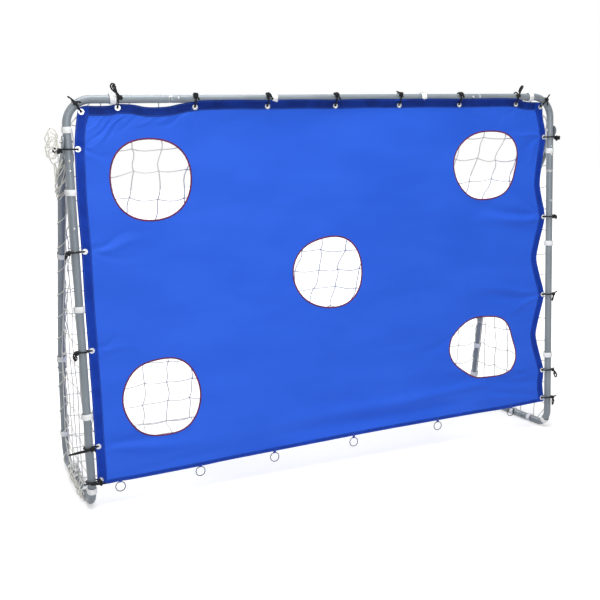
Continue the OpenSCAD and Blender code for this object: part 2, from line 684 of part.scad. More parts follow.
// Back net: upright strip under the crossbar, long slope and short lower part
module net_back() color(net_white) difference() {
  strip = bar_z - strip_z;
  lean = atan2(strip_z - stay_fold_z, net_front - stay_fold_y);
  union() {
    net_between([net_front, strip_z], [net_front, bar_z]) intersection() {
      mesh_and_corners(strip);
      strip_outline(strip);
    }
    net_between([stay_fold_y, stay_fold_z], [net_front, strip_z])
      mesh_2d(net_half, norm([stay_fold_y - net_front, strip_z - stay_fold_z]),
        mesh_columns, mesh_rows_upper);
    net_between([skirt_y, skirt_z], [stay_fold_y, stay_fold_z])
      mesh_2d(net_half, norm([skirt_y - stay_fold_y, stay_fold_z - skirt_z]),
        mesh_columns, mesh_rows_lower);
    for (p = [[net_front, strip_z], [stay_fold_y, stay_fold_z]])
      translate([-net_half, front_y + p.x, p.y]) rotate([0, 90, 0])
        cylinder(r = 0.8 * strand, h = 2 * net_half, $fn = 12);
  }
  wrap_slots_bar();
  for (side = ["left", "right"]) on_side(side) {
    for (z = stay_strap_z(side)) at_stay(z) rotate([0, 90, 0]) wrap_slot(strap_r, strap_w);
    nut_room(at(crossbar_bolt.x, 0, bar_z), back);
    nut_room(stay_seam_bolt, -across);
    translate(at(post_x - 2 * tube_r, 0, side_top_z - tie_d)) cube([2 * tube_r, 2 * tube_r, 2 * tie_d]);
  }
}

// Room for a nut and its bolt's end beyond p along d
module nut_room(p, d) aim(p, d) cylinder(d = nut_af + 4, h = front_seat + nut_h + thread_out + 2, $fn = fn);

module strip_outline(h) polygon([[-net_half, 0], [net_half, 0], [net_half, h - top_bend_r],
  [corner_x - tube_r, h], [-corner_x + tube_r, h], [-net_half, h - top_bend_r]]);
module mesh_and_corners(h) {
  mesh_2d(net_half, h, mesh_columns, mesh_rows_top);
  for (s = [-1, 1]) strand_2d([s * net_half, h - top_bend_r - strand], [s * (corner_x - tube_r), h - strand]);
}

// Room that the ties and straps on the crossbar need in the net
crossbar_strap_x = [left_corner_strap_in - post_x, top_row_x()[2] + middle_strap_past_tie[0],
  top_row_x()[4] + middle_strap_past_tie[1], post_x - right_corner_strap_in];
slot = 0.4;
module wrap_slot(outer, width) rotate([0, 90, 0]) difference() {
  cylinder(r = outer + slot, h = width + 2 * slot, center = true, $fn = fn);
  cylinder(r = wrap_r - slot / 4, h = width + 4 * slot, center = true, $fn = fn);
}
module wrap_slots_bar() {
  for (x = top_row_x()) translate(at(x, 0, bar_z)) wrap_slot(tie_big + tie_r, tie_d);
  for (x = crossbar_strap_x) translate(at(x, 0, bar_z)) wrap_slot(strap_r, strap_w);
}

// Side net in the side view, as [depth, height] points just inside the tubes
limb = tube_r + skin_gap + strand / 2;
function limb_point(p, tilt, along) =
  p - limb * [cos(tilt), sin(tilt)] + along * [-sin(tilt), cos(tilt)];
fold_trim = stay_bend_r * tan((stay_tilt - lower_tilt) / 2);
rear_trim = rear_bend_r * tan(rear_turn / 2);
side_corners = [
  [limb, base_z + foot_bend_r + tie_d], [foot_bend_r, base_z + limb], [base_reach - rear_trim, base_z + limb],
  limb_point([base_reach, base_z], lower_tilt, rear_trim),
  limb_point([stay_fold_y, stay_fold_z], lower_tilt, -fold_trim),
  limb_point([stay_fold_y, stay_fold_z], stay_tilt, fold_trim),
  [limb, stay_bolt_z - (limb + limb / cos(stay_tilt)) / tan(stay_tilt)]];
module net_side(side) color(net_white) difference() {
  on_side(side) translate([post_x - strand / 2, front_y, 0]) rotate([90, 0, 90]) linear_extrude(strand) {
    intersection() {
      polygon(side_corners);
      union() {
        for (z = [side_mesh_z : side_mesh : stay_bolt_z])
          translate([0, z - strand / 2]) square([base_reach, strand]);
        for (y = [side_mesh : side_mesh : base_reach])
          translate([y - strand / 2, 0]) square([strand, goal_h]);
      }
    }
    for (i = [0 : len(side_corners) - 1])
      strand_2d(side_corners[i], side_corners[(i + 1) % len(side_corners)]);
  }
  on_side(side) {
    for (z = side_eyelet_z(side))
      translate(at(post_x, 0, z)) rotate([0, 90, 0]) wrap_slot(tie_big + tie_r, tie_d);
    for (z = post_strap_z(side)) translate(at(post_x, 0, z)) rotate([0, 90, 0]) wrap_slot(strap_r, strap_w);
    for (z = post_bolt_z()) nut_room(at(post_x, 0, z), back);
    at_foot(side) rotate([0, 90, 0]) wrap_slot(strap_r, strap_w);
    translate(at(post_x - nut_af, 0, side_net_top)) cube([2 * nut_af, 2 * tube_r, stay_bolt_z]);
    for (y = base_strap_y(side))
      translate(at(post_x, y, base_z)) rotate([0, 0, 90]) wrap_slot(strap_r, strap_w);
    for (z = stay_strap_z(side)) at_stay(z) rotate([0, 90, 0]) wrap_slot(strap_r, strap_w);
  }
}

// Ground skirt from the back net's fold to its front edge on the ground
module net_skirt() color(net_white) {
  front = [skirt_front_y, strand / 2 + skin_gap];
  run = [skirt_y, skirt_z] - front;
  net_between(front, [skirt_y, skirt_z])
    mesh_2d(post_x - strap_r - slot, norm(run) - 0.7 * strand - skin_gap, mesh_columns, mesh_rows_skirt);
}

// Hook-and-loop strap round the tube and the net's edge, centred on the origin
module strap(r = wrap_r) difference() {
  cylinder(r = r + strap_t, h = strap_w, center = true, $fn = fn);
  cylinder(r = r, h = strap_w + 2 * cut, center = true, $fn = fn);
}

// Puts a child on the foot bend where the lowest strap sits
module at_foot(side) translate(at(post_x, foot_bend_r, base_z + foot_bend_r))
  rotate([foot_strap_turn[side == "left" ? 0 : 1], 0, 0]) translate([0, -foot_bend_r, 0]) children();

// Puts a child on the stay's axis at height z, with +Z along the stay
module at_stay(z)
  aim(at(stay_x(z), stay_y(z), z), z > stay_fold_z ? stay_round - stay_fold : stay_fold - stay_seam)
    children();

module crossbar_straps() color("white")
  for (x = crossbar_strap_x) translate(at(x, 0, bar_z)) rotate([0, 90, 0]) strap();
module post_straps(side) color("white") on_side(side) {
  for (z = post_strap_z(side)) translate(at(post_x, 0, z)) strap(z < side_net_top ? wrap_r : bare_r);
  at_foot(side) strap(bare_r + 1.2);
}
module stay_straps(side) color("white") on_side(side) for (z = stay_strap_z(side)) at_stay(z) strap();

// Straps under the base tubes, pulled tight below, where the tube's weight is on them
base_strap_rise = (wrap_r - bare_r) / 2;
module base_straps(side) color("white") on_side(side)
  for (y = base_strap_y(side)) translate(at(post_x, y, base_z + base_strap_rise)) rotate([90, 0, 0])
    strap((wrap_r + bare_r) / 2);

corner_tube("left");  // corner_tube_left
corner_tube("right");  // corner_tube_right
crossbar_tube();
post_sleeve("left");  // post_sleeve_left
post_sleeve("right");  // post_sleeve_right
post_tube("left");  // post_tube_left
post_tube("right");  // post_tube_right
base_tube("left");  // base_tube_left
base_tube("right");  // base_tube_right
stay_tube("left");  // stay_tube_left
stay_tube("right");  // stay_tube_right
crossbar_bolts();
crossbar_nuts();
post_bolts("left");  // post_bolts_left
post_bolts("right");  // post_bolts_right
post_nuts("left");  // post_nuts_left
post_nuts("right");  // post_nuts_right
base_bolts();
base_nuts();
stay_seam_bolts();
stay_seam_nuts();
stay_end_bolts();
stay_end_nuts();
stay_end_washers();
target_panel();
hem_top();
hem_bottom();
side_hem_piece("left");  // hem_left
side_hem_piece("right");  // hem_right
hole_bindings();
eyelets();
top_ties();
side_ties("left");  // left_ties
side_ties("right");  // right_ties
ring_tabs();
peg_ring(1);  // peg_ring_1
peg_ring(2);  // peg_ring_2
peg_ring(3);  // peg_ring_3
peg_ring(4);  // peg_ring_4
peg_ring(5);  // peg_ring_5
peg_ring(6);  // peg_ring_6
net_back();
net_side("left");  // net_side_left
net_side("right");  // net_side_right
net_skirt();
crossbar_straps();
post_straps("left");  // post_straps_left
post_straps("right");  // post_straps_right
stay_straps("left");  // stay_straps_left
stay_straps("right");  // stay_straps_right
base_straps("left");  // base_straps_left
base_straps("right");  // base_straps_right
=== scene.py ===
import math
import random

import bpy
import numpy as np
from mathutils import Matrix, Vector


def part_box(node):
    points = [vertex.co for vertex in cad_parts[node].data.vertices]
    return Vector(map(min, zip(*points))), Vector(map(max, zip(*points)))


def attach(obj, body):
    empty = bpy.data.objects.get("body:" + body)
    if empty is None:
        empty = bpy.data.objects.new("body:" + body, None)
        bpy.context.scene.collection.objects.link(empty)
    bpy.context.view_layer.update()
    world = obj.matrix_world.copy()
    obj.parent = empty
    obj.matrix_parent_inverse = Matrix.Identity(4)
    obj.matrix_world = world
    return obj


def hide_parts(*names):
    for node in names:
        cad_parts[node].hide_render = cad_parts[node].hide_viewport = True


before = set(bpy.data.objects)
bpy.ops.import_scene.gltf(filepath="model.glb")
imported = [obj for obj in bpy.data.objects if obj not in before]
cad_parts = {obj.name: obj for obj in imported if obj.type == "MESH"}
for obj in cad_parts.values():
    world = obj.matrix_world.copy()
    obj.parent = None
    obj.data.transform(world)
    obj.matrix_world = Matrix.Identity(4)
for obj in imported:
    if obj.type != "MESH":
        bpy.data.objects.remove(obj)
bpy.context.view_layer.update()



class Wire:
    """A node's output that can be written in sums; each sum adds the node that works it out."""

    def __init__(self, socket):
        self.socket = socket
        self.tree = socket.id_data

    def add(self, kind, settings=None, values=None, out=0):
        """Any other node: its type, its settings, then the values or links of its sockets."""
        made = self.tree.nodes.new("ShaderNode" + kind)
        for key, value in (settings or {}).items():
            setattr(made, key, value)
        for key, value in (values or {}).items():
            if isinstance(value, Wire):
                self.tree.links.new(value.socket, made.inputs[key])
            else:
                made.inputs[key].default_value = value
        return Wire(made.outputs[out])

    def sum(self, operation, left, right):
        if any(isinstance(x, Wire) and x.socket.type != "VALUE" for x in (left, right)):
            left, right = (x if isinstance(x, Wire) or hasattr(x, "__len__") else (x,) * 3
                           for x in (left, right))
            return self.add("VectorMath", {"operation": operation}, {0: left, 1: right})
        return self.add("Math", {"operation": operation}, {0: left, 1: right})

    def __add__(self, other):
        return self.sum("ADD", self, other)

    def __sub__(self, other):
        return self.sum("SUBTRACT", self, other)

    def __mul__(self, other):
        return self.sum("MULTIPLY", self, other)

    def __abs__(self):
        return self.add("Math", {"operation": "ABSOLUTE"}, {0: self})

    __radd__ = __add__
    __rmul__ = __mul__

    def noise(self, scale, detail=2.0):
        return self.add("TexNoise", None, {"Vector": self, "Scale": scale, "Detail": detail})

    def fade(self, low, high):
        """0 below low and 1 above high; low may be the larger one."""
        return self.add("MapRange", {"interpolation_type": "SMOOTHSTEP"},
                        {"Value": self, "From Min": low, "From Max": high})

    def paint(self, dark, light):
        """Mixes two colours by this mask; either may itself be a wire."""
        colours = [c if isinstance(c, Wire) else (*c, 1.0) for c in (dark, light)]
        return self.add("Mix", {"data_type": "RGBA"}, {0: self, 6: colours[0], 7: colours[1]}, out=2)

    def relief(self, strength, millimetres):
        """Normals of a surface whose height, in the stated millimetres, is this value."""
        return self.add("Bump", None,
                        {"Height": self, "Strength": strength, "Distance": millimetres / 1000})

    def parts(self):
        split = self.add("SeparateXYZ", None, {"Vector": self})
        return [Wire(o) for o in split.socket.node.outputs]


def finish(name, recipe, **plain):
    """A material: the recipe turns object coordinates into the shader inputs that vary."""
    material = bpy.data.materials.new(name)
    material.use_nodes = True
    tree = material.node_tree
    shader = tree.nodes["Principled BSDF"]
    for key, value in plain.items():
        shader.inputs[key.replace("_", " ")].default_value = value
    where = Wire(shader.outputs[0]).add("TexCoord", out="Object")
    for key, wire in recipe(where).items():
        tree.links.new(wire.socket, shader.inputs[key])
    return material


def dress(material, *nodes):
    """Gives CAD nodes, whose shape is right, their real surface."""
    for node in nodes:
        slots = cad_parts[node].data.materials
        slots.clear()
        slots.append(material)


bar_low, bar_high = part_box("crossbar_tube")
front = (bar_low.y + bar_high.y) / 2
bar_z = (bar_low.z + bar_high.z) / 2
tube_r = 0.015
post_x = 1.050
foot_z = 0.0166
top_bend, foot_bend, rear_bend = 0.090, 0.070, 0.080
bar_seam, post_seam, base_seam, stay_seam = 0.671, 1.184, 0.210, 0.420


def powder_coat(where):
    x, y, z = where.parts()
    cloud = where.noise(7.0, 3.0)
    peel = where.noise(520.0, 2.0)
    speck = where.noise(150.0, 4.0).fade(0.66, 0.70)
    seams = [abs(abs(x) - bar_seam) + z.fade(1.45, 1.44),
             abs(z - post_seam) + y.fade(front + 0.03, front + 0.05),
             abs(y - (front + base_seam)) + z.fade(0.05, 0.06),
             abs(z - stay_seam) + y.fade(front + 0.4, front + 0.3)]
    near = seams[0].fade(0.009, 0.001)
    for seam in seams[1:]:
        near = near + seam.fade(0.009, 0.001)
    rubbed = (near * where.noise(95.0, 5.0).fade(0.44, 0.58) + speck * 0.35).fade(0.0, 0.9)
    coat = cloud.fade(0.35, 0.65).paint((0.172, 0.200, 0.226), (0.206, 0.236, 0.262))
    return {"Base Color": rubbed.paint(coat, (0.42, 0.42, 0.42)),
            "Roughness": 0.34 + cloud * 0.12 - rubbed * 0.10,
            "Metallic": 0.15 + rubbed * 0.6,
            "Normal": (peel * 0.7 - rubbed * 0.4).relief(0.22, 0.12)}


dress(finish("silver_powder_coat", powder_coat), "crossbar_tube",
      *(part + side for part in ("corner_tube", "post_tube", "base_tube", "stay_tube")
        for side in ("_left", "_right")))


# Sleeves inside the post seams: plain galvanised tube, 1.5 mm wall, that the bolts
# through the posts clamp. Galvanising leaves a pale, mottled spangle.
def galvanised(where):
    spangle = where.add("TexVoronoi", {"feature": "F1"}, {"Vector": where, "Scale": 260.0}, out="Color")
    patch = where.noise(40.0, 4.0)
    return {"Base Color": patch.fade(0.3, 0.7).paint((0.36, 0.38, 0.40), (0.50, 0.52, 0.54)),
            "Roughness": 0.30 + spangle.parts()[0] * 0.18 + patch * 0.1,
            "Normal": (spangle.parts()[1] * 0.5 + patch).relief(0.25, 0.10)}


dress(finish("galvanised_sleeve", galvanised, Metallic=0.85), "post_sleeve_left", "post_sleeve_right")


# Bolts, nuts and washers: M6 dome-head bolts of bright zinc-plated steel. Plating has a
# faint blue and yellow cast, and the spanner leaves fine scratches round the nuts.
def zinc_plate(where):
    cast = where.noise(60.0, 3.0)
    scratch = where.add("TexNoise", None, {"Vector": where * (1.0, 1.0, 14.0), "Scale": 190.0, "Detail": 3.0})
    return {"Base Color": cast.fade(0.35, 0.65).paint((0.27, 0.29, 0.32), (0.36, 0.35, 0.32)),
            "Roughness": 0.30 + scratch.fade(0.5, 0.8) * 0.25,
            "Normal": scratch.relief(0.15, 0.05)}


bright_zinc = finish("bright_zinc", zinc_plate, Metallic=1.0)
dress(bright_zinc, "crossbar_bolts", "crossbar_nuts", "post_bolts_left", "post_bolts_right",
      "post_nuts_left", "post_nuts_right", "base_bolts", "base_nuts", "stay_seam_bolts",
      "stay_seam_nuts", "stay_end_bolts", "stay_end_nuts", "stay_end_washers")


# Back net, side nets and ground skirt: knotted polyethylene cord, 4.2 mm thick, with a
# mesh of about 100 mm. Strands run slack from knot to knot, and the knots are thicker.
net_cord_r = 0.0021
knot_r = 1.5 * net_cord_r
knot_length = 0.0035
cord_points = (0.0, 0.03, 0.07, 0.2, 0.4, 0.6, 0.8, 0.93, 0.97)


def tube(path, radius, sides=5, closed=False):
    """Vertices and faces of a round cord along a list of points."""
    path = np.asarray(path, float)
    count = len(path)
    ahead = np.roll(path, -1, 0) - np.roll(path, 1, 0) if closed else np.gradient(path, axis=0)
    ahead /= np.linalg.norm(ahead, axis=1)[:, None] + 1e-12
    across = np.empty_like(path)
    hold = np.array((0.31, 0.17, 0.93))
    for k in range(count):
        hold = hold - ahead[k] * (hold @ ahead[k])
        hold /= np.linalg.norm(hold)
        across[k] = hold
    beside = np.cross(ahead, across)
    turn = 2 * math.pi * np.arange(sides) / sides
    r = np.broadcast_to(np.asarray(radius, float), count)[:, None, None]
    rings = path[:, None] + r * (across[:, None] * np.cos(turn)[:, None]
                                 + beside[:, None] * np.sin(turn)[:, None])
    faces = []
    for k in range(count if closed else count - 1):
        here, there = k * sides, (k + 1) % count * sides
        faces += [(here + i, here + (i + 1) % sides, there + (i + 1) % sides, there + i)
                  for i in range(sides)]
    if not closed:
        faces += [tuple(range(sides))[::-1],
                  tuple((count - 1) * sides + i for i in range(sides))]
    return rings.reshape(-1, 3), faces


def skin(rows, n):
    """Faces of a strip whose rows of n points go round it, with an end face at each end."""
    faces = [(k * n + i, k * n + (i + 1) % n, (k + 1) * n + (i + 1) % n, (k + 1) * n + i)
             for k in range(rows - 1) for i in range(n)]
    return faces + [tuple(range(n))[::-1], tuple((rows - 1) * n + i for i in range(n))]


def joined(parts):
    """Several meshes as one."""
    verts, faces, start = [], [], 0
    for v, f in parts:
        verts.append(np.asarray(v, float))
        faces += [tuple(i + start for i in face) for face in f]
        start += len(v)
    return np.concatenate(verts), faces


def piece(name, parts, material, stands_for):
    """A piece of the goal: it rides on the frame and stands for the CAD nodes named."""
    verts, faces = joined(parts)
    mesh = bpy.data.meshes.new(name)
    mesh.from_pydata(verts.tolist(), [], faces)
    mesh.materials.append(material)
    mesh.polygons.foreach_set("use_smooth", [True] * len(mesh.polygons))
    mesh.set_sharp_from_angle(angle=math.radians(50))
    thing = bpy.data.objects.new(name, mesh)
    bpy.context.scene.collection.objects.link(thing)
    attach(thing, "goal")
    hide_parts(*stands_for)
    return thing


def net_line(knots, sag, side, seed, loose=0.004):
    """One cord of a net through its knots. It sags between them along sag and sways along side."""
    chance = random.Random(seed)
    knots = np.asarray(knots, float)
    points, radii = [], []
    for a, b in zip(knots[:-1], knots[1:]):
        length = np.linalg.norm(b - a)
        down, sway, bow = chance.uniform(0.5, 1.4), chance.uniform(-1, 1), chance.uniform(-1, 1)
        for t in cord_points:
            hump = 4 * t * (1 - t)
            swing = loose * (hump * sway + math.sin(2 * math.pi * t) * 0.6 * bow)
            points.append(a + (b - a) * t + np.asarray(sag) * hump * down * length
                          + np.asarray(side) * swing)
            near_knot = math.exp(-(min(t, 1 - t) * length / knot_length) ** 2)
            radii.append(net_cord_r + (knot_r - net_cord_r) * near_knot)
    points.append(knots[-1])
    radii.append(knot_r)
    return tube(points, radii)


def knotted(grid, seed):
    """A net whose knots are a grid of rows and columns of points."""
    grid = np.asarray(grid, float)
    parts = [net_line(row, (0, 0, -0.055), (0, 0, 1), seed + i, 0.003)
             for i, row in enumerate(grid)]
    parts += [net_line(grid[:, j], (0, 0, 0), (1, 0, 0), seed + 500 + j, 0.009)
              for j in range(grid.shape[1])]
    return parts


net_half = 1.0349
net_y = 0.0163
strip_low = 1.333
fold_y, fold_z = 0.5223, 0.500
stay_lean, rear_lean = 0.6072, 0.1908
skirt_y, skirt_z = 0.5940, 0.124
columns = 19


def net_place(x, z, belly):
    """Where the back net hangs: upright below the crossbar, then down the slope of the stays."""
    if z > strip_low:
        y = net_y
    elif z > fold_z:
        y = net_y + (fold_y - net_y) * (strip_low - z) / (strip_low - fold_z)
    else:
        y = fold_y + (skirt_y - fold_y) * (fold_z - z) / (fold_z - skirt_z)
    return (x, front + y - belly, z)


chance = random.Random(11)
net_rows = [bar_z - 0.086 * i for i in range(2)]
net_rows += [strip_low + (fold_z - strip_low) * i / 9 for i in range(9)]
net_rows += [fold_z + (skirt_z - fold_z) * i / 4 for i in range(5)]
back_grid = []
for i, z in enumerate(net_rows):
    row = []
    for j in range(columns + 1):
        x = net_half * (2 * j / columns - 1)
        if i == 0 and j in (0, columns):
            x = math.copysign(0.945, x)
        inner = 0 < j < columns and 0 < i < len(net_rows) - 1
        shake = 0.011 if inner else 0.0
        if inner and i in (1, 2):
            belly = -0.006
        elif inner:
            belly = (0.016 * math.sin(math.pi * j / columns)
                     * math.sin(math.pi * i / (len(net_rows) - 1)))
        else:
            belly = 0
        row.append(net_place(x + chance.uniform(-shake, shake),
                             z + chance.uniform(-shake, shake),
                             belly + chance.uniform(-1, 1) * shake * 0.5))
    back_grid.append(row)


def net_twine(where):
    lay = where.add("TexWave", {"bands_direction": "DIAGONAL"},
                    {"Vector": where, "Scale": 160.0, "Distortion": 1.5})
    dust = where.noise(12.0, 3.0)
    return {"Base Color": dust.fade(0.3, 0.75).paint((0.66, 0.65, 0.59), (0.76, 0.75, 0.69)),
            "Roughness": 0.62 + lay * 0.2,
            "Normal": lay.relief(0.5, 0.3)}


net_finish = finish("net_twine", net_twine, Sheen_Weight=0.15)
piece("net_back_cords", knotted(back_grid, 100), net_finish, ["net_back"])

skirt_front_y, skirt_front_z = 0.360, 0.0034
skirt_half = 1.0305
skirt_shake = 0.006


def skirt_knot(i, j):
    """A knot of the skirt, a little off its place but where the sides or the back net hold it."""
    return (skirt_half * (2 * j / columns - 1)
            + chance.uniform(-skirt_shake, skirt_shake) * (0 < j < columns),
            front + skirt_y + (skirt_front_y - skirt_y) * i / 3
            + chance.uniform(-skirt_shake, skirt_shake) * (i > 0),
            skirt_z + (skirt_front_z - skirt_z) * i / 3 + (0.004 if 0 < i < 3 else 0.0))


skirt_grid = [[skirt_knot(i, j) for j in range(columns + 1)] for i in range(4)]
skirt_parts = [net_line(row, (0, 0, 0), (0, 1, 0), 700 + i, 0.006)
               for i, row in enumerate(skirt_grid)]
skirt_parts += [net_line([row[j] for row in skirt_grid], (0, 0, 0), (1, 0, 0), 750 + j)
                for j in range(columns + 1)]
piece("net_skirt_cords", skirt_parts, net_finish, ["net_skirt"])

side_edge = [(0.0163, 0.0916), (0.070, 0.0329), (0.5178, 0.0329), (0.5804, 0.1085), (0.5109, 0.4757),
             (0.4976, 0.5100), (0.0163, 1.3018)]
side_mesh = 0.100
side_first = 0.015


def span(edge, at, axis):
    """Where a straight line across a closed outline enters and leaves it."""
    hits = []
    for p, q in zip(edge, edge[1:] + edge[:1]):
        if (p[axis] - at) * (q[axis] - at) < 0:
            t = (at - p[axis]) / (q[axis] - p[axis])
            hits.append(p[1 - axis] + (q[1 - axis] - p[1 - axis]) * t)
    return (min(hits), max(hits)) if len(hits) > 1 else None


def side_knot(sign, y, z):
    """A knot of a side net, a little off its place, and the same for both cords through it."""
    shift = random.Random(int(y * 1000) * 7919 + int(z * 1000) * 31 + (sign > 0))
    return (sign * (post_x + shift.uniform(-0.004, 0.002)),
            front + y + shift.uniform(-0.009, 0.009),
            z + shift.uniform(-0.009, 0.009))


def side_line(sign, at, axis):
    """A cord of a side net: upright where axis is 0, level where it is 1."""
    ends = span(side_edge, at, axis)
    if ends is None:
        return None
    grid = [side_mesh * k + (side_first if axis == 0 else 0.0) for k in range(14)]
    inner = [g for g in grid if ends[0] + 0.02 < g < ends[1] - 0.02]
    ordered = [ends[0]] + inner + [ends[1]]
    knots = []
    for k, g in enumerate(ordered):
        y, z = (at, g) if axis == 0 else (g, at)
        inner_knot = 0 < k < len(ordered) - 1
        knots.append(side_knot(sign, y, z) if inner_knot else (sign * post_x, front + y, z))
    sag, side = ((0, 0, -0.06), (0, 0, 1)) if axis == 1 else ((0, 0, 0), (0, 1, 0))
    return net_line(knots, sag, side, int(at * 1000) + axis, 0.006)


def upper_stay(z):
    """How far behind the front a stay's middle stands, above its fold."""
    return fold_y - (z - fold_z) * stay_lean


def stay_line():
    """The middle of a base tube, its rear bend and its stay, from the foot up."""
    places = [(0.080 + 0.0437 * k, foot_z) for k in range(11)]
    for turn in [math.radians(100.8) * k / 6 for k in range(1, 6)]:
        places.append((0.5178 + rear_bend * math.sin(turn),
                       foot_z + rear_bend - rear_bend * math.cos(turn)))
    places += [(0.6145 - (z - foot_z) * rear_lean, z) for z in [0.115 + 0.035 * k for k in range(11)]]
    places += [(upper_stay(z), z) for z in [0.525 + 0.0352 * k for k in range(23)]]
    return places


def outward(z):
    """How far a stay's middle stands from the centre; it leans out to pass the post."""
    return post_x + 0.0173 * max(0.0, z - fold_z) / (1.360 - fold_z)


def run_along(line):
    """How far along a line each of its points lies."""
    return np.concatenate([[0], np.cumsum(np.linalg.norm(np.diff(line, axis=0), axis=1))])


def resampled(line, run, at):
    """Points of a line at the stated places along it."""
    return np.stack([np.interp(at, run, line[:, k]) for k in range(line.shape[1])], 1)


def wound(sign, places, radius, pitch, phase, wave=0.0, seed=0):
    """A cord wound round a tube whose middle is given by depths and heights."""
    line = np.array([(sign * outward(z), front + y, z) for y, z in places])
    run = run_along(line)
    at = np.linspace(0, run[-1], int(run[-1] / 0.006))
    middle = resampled(line, run, at)
    ahead = np.gradient(middle, axis=0)
    ahead /= np.linalg.norm(ahead, axis=1)[:, None]
    side = np.array((1.0, 0, 0)) - ahead * ahead[:, :1]
    side /= np.linalg.norm(side, axis=1)[:, None]
    up = np.cross(ahead, side)
    shift = random.Random(seed)
    a, b, c = (shift.uniform(0, 6.28) for _ in range(3))
    turn = 2 * math.pi * at / pitch + phase
    wide = radius + wave * (0.5 + 0.5 * np.sin(at * 61 + a) * np.cos(at * 23 + b))
    turn = turn + (0.9 * np.sin(at * 17 + c) if wave else 0)
    points = middle + wide[:, None] * (side * np.cos(turn)[:, None] + up * np.sin(turn)[:, None])
    points[:, 2] = np.maximum(points[:, 2], net_cord_r + 0.0002)
    return tube(points, net_cord_r)


def slack_loop(k, height, reach, tall):
    """One loose mesh of the left side net, hanging outside the top of its stay."""
    shift = random.Random(80 + k)
    turn, tilt = shift.uniform(0, 6.28), shift.uniform(-0.5, 0.5)
    across = -outward(height) - tube_r - 0.003 - reach
    deep = front + upper_stay(height)
    path = []
    for i in range(22):
        a = 2 * math.pi * i / 22
        side, up = math.cos(a), math.sin(a)
        path.append((across + reach * side * (1 - 0.14 * math.sin(2 * a + turn)),
                     deep + 0.010 * math.sin(a + turn) + 0.012 * tilt * up,
                     height + tall * (up + 0.15 * math.sin(3 * a + turn)) + reach * tilt * side))
    return tube(path, net_cord_r, closed=True)


wound_r = 0.0168
slack_loops = [(1.385, 0.018, 0.022), (1.374, 0.021, 0.028), (1.362, 0.016, 0.032),
               (1.350, 0.021, 0.024), (1.336, 0.018, 0.030), (1.322, 0.021, 0.020),
               (1.312, 0.013, 0.030), (1.250, 0.005, 0.036)]
for side, sign in (("left", -1), ("right", 1)):
    corners = [(sign * post_x, front + y, z) for y, z in side_edge]
    parts = [net_line(corners + corners[:1], (0, 0, 0), (0, 0, 0), 7)]
    for k in range(1, 6):
        parts.append(side_line(sign, side_mesh * k, 0))
    for k in range(13):
        parts.append(side_line(sign, side_first + side_mesh * k, 1))
    parts = [p for p in parts if p is not None]
    if sign < 0:
        parts.append(wound(sign, stay_line()[2:], wound_r, 0.115, 0.4))
        top = [(upper_stay(z), z) for z in (1.16, 1.20, 1.24, 1.28, 1.31)]
        parts += [wound(sign, top, wound_r, 0.21 + 0.03 * k, 0.7 * k, 0.010, 40 + k) for k in range(7)]
        low = [(y, foot_z) for y in (0.10, 0.2, 0.3, 0.4, 0.5)]
        parts += [wound(sign, low, wound_r, 0.37 + 0.05 * k, 0.5 * k - 0.3, 0.012, 60 + k)
                  for k in range(9)]
        parts += [slack_loop(k, *loop) for k, loop in enumerate(slack_loops)]
    piece("net_side_cords_" + side, parts, net_finish, ["net_side_" + side])


# Straps: white hook-and-loop tape, 22 mm wide, that holds the net's edge to the tubes.
# Each goes once round the tube and laps over its own end, so it's double on one side.
strap_w = 0.022
strap_t = 0.0015
strap_lap = 1.1
wrap_r = 0.0176
bare_r = 0.0151


def tape(middle, along, inner, start, lift=0.0014):
    """A strap round a tube: along is the tube's direction, start the way to the loose end."""
    along, start = Vector(along).normalized(), Vector(start)
    start = (start - along * start.dot(along)).normalized()
    beside = along.cross(start)
    shape = [(-0.5, 0.0), (-0.47, -0.1), (0.47, -0.1), (0.5, 0.0), (0.5, 0.8), (0.46, 1.0),
             (0.0, 1.12), (-0.46, 1.0), (-0.5, 0.8)]
    steps = 52
    verts = []
    for k in range(steps + 1):
        turn = (2 * math.pi + strap_lap) * k / steps
        over = max(0.0, turn - 2 * math.pi)
        out = inner + strap_t * 1.05 * min(1.0, over / 0.25 if over else 0.0)
        out += lift * max(0.0, (turn - (2 * math.pi + strap_lap - 0.35)) / 0.35) ** 2
        out += 0.00035 * math.sin(3 * turn + middle[2] * 40)
        slip = 0.0012 * math.sin(turn * 0.5 + middle[0] * 9 + middle[2] * 5)
        for across, height in shape:
            r = out + max(height, 0.0) * strap_t
            place = start * math.cos(turn) * r + beside * math.sin(turn) * r
            verts.append(Vector(middle) + (place + along * (across * strap_w + slip)))
    return [tuple(v) for v in verts], skin(steps + 1, len(shape))


def woven_tape(where):
    pile = where.noise(650.0, 3.0)
    soil = where.noise(38.0, 4.0)
    return {"Base Color": soil.fade(0.35, 0.8).paint((0.82, 0.83, 0.83), (0.70, 0.71, 0.72)),
            "Roughness": 0.70 + pile * 0.25,
            "Normal": (pile + where.noise(190.0) * 0.6).relief(0.45, 0.35)}


tape_finish = finish("white_hook_and_loop", woven_tape, Sheen_Weight=0.25)


def stay_tape(sign, z, start):
    """A strap on a stay at height z."""
    if z > fold_z:
        y, along = upper_stay(z), (sign * 0.01608, -stay_lean, 1.0)
    else:
        y, along = fold_y + (fold_z - z) * rear_lean, (0, -rear_lean, 1.0)
    return tape((sign * outward(z), front + y, z), along, wrap_r, start)


def foot_tape(sign, turn):
    """A strap on the bend at a post's foot, turned back from the post by an angle."""
    turn = math.radians(turn)
    middle = (sign * post_x, front + foot_bend - foot_bend * math.cos(turn),
              foot_z + foot_bend - foot_bend * math.sin(turn))
    return tape(middle, (0, -math.sin(turn), math.cos(turn)), 0.0163, (sign, 0.4, 0))


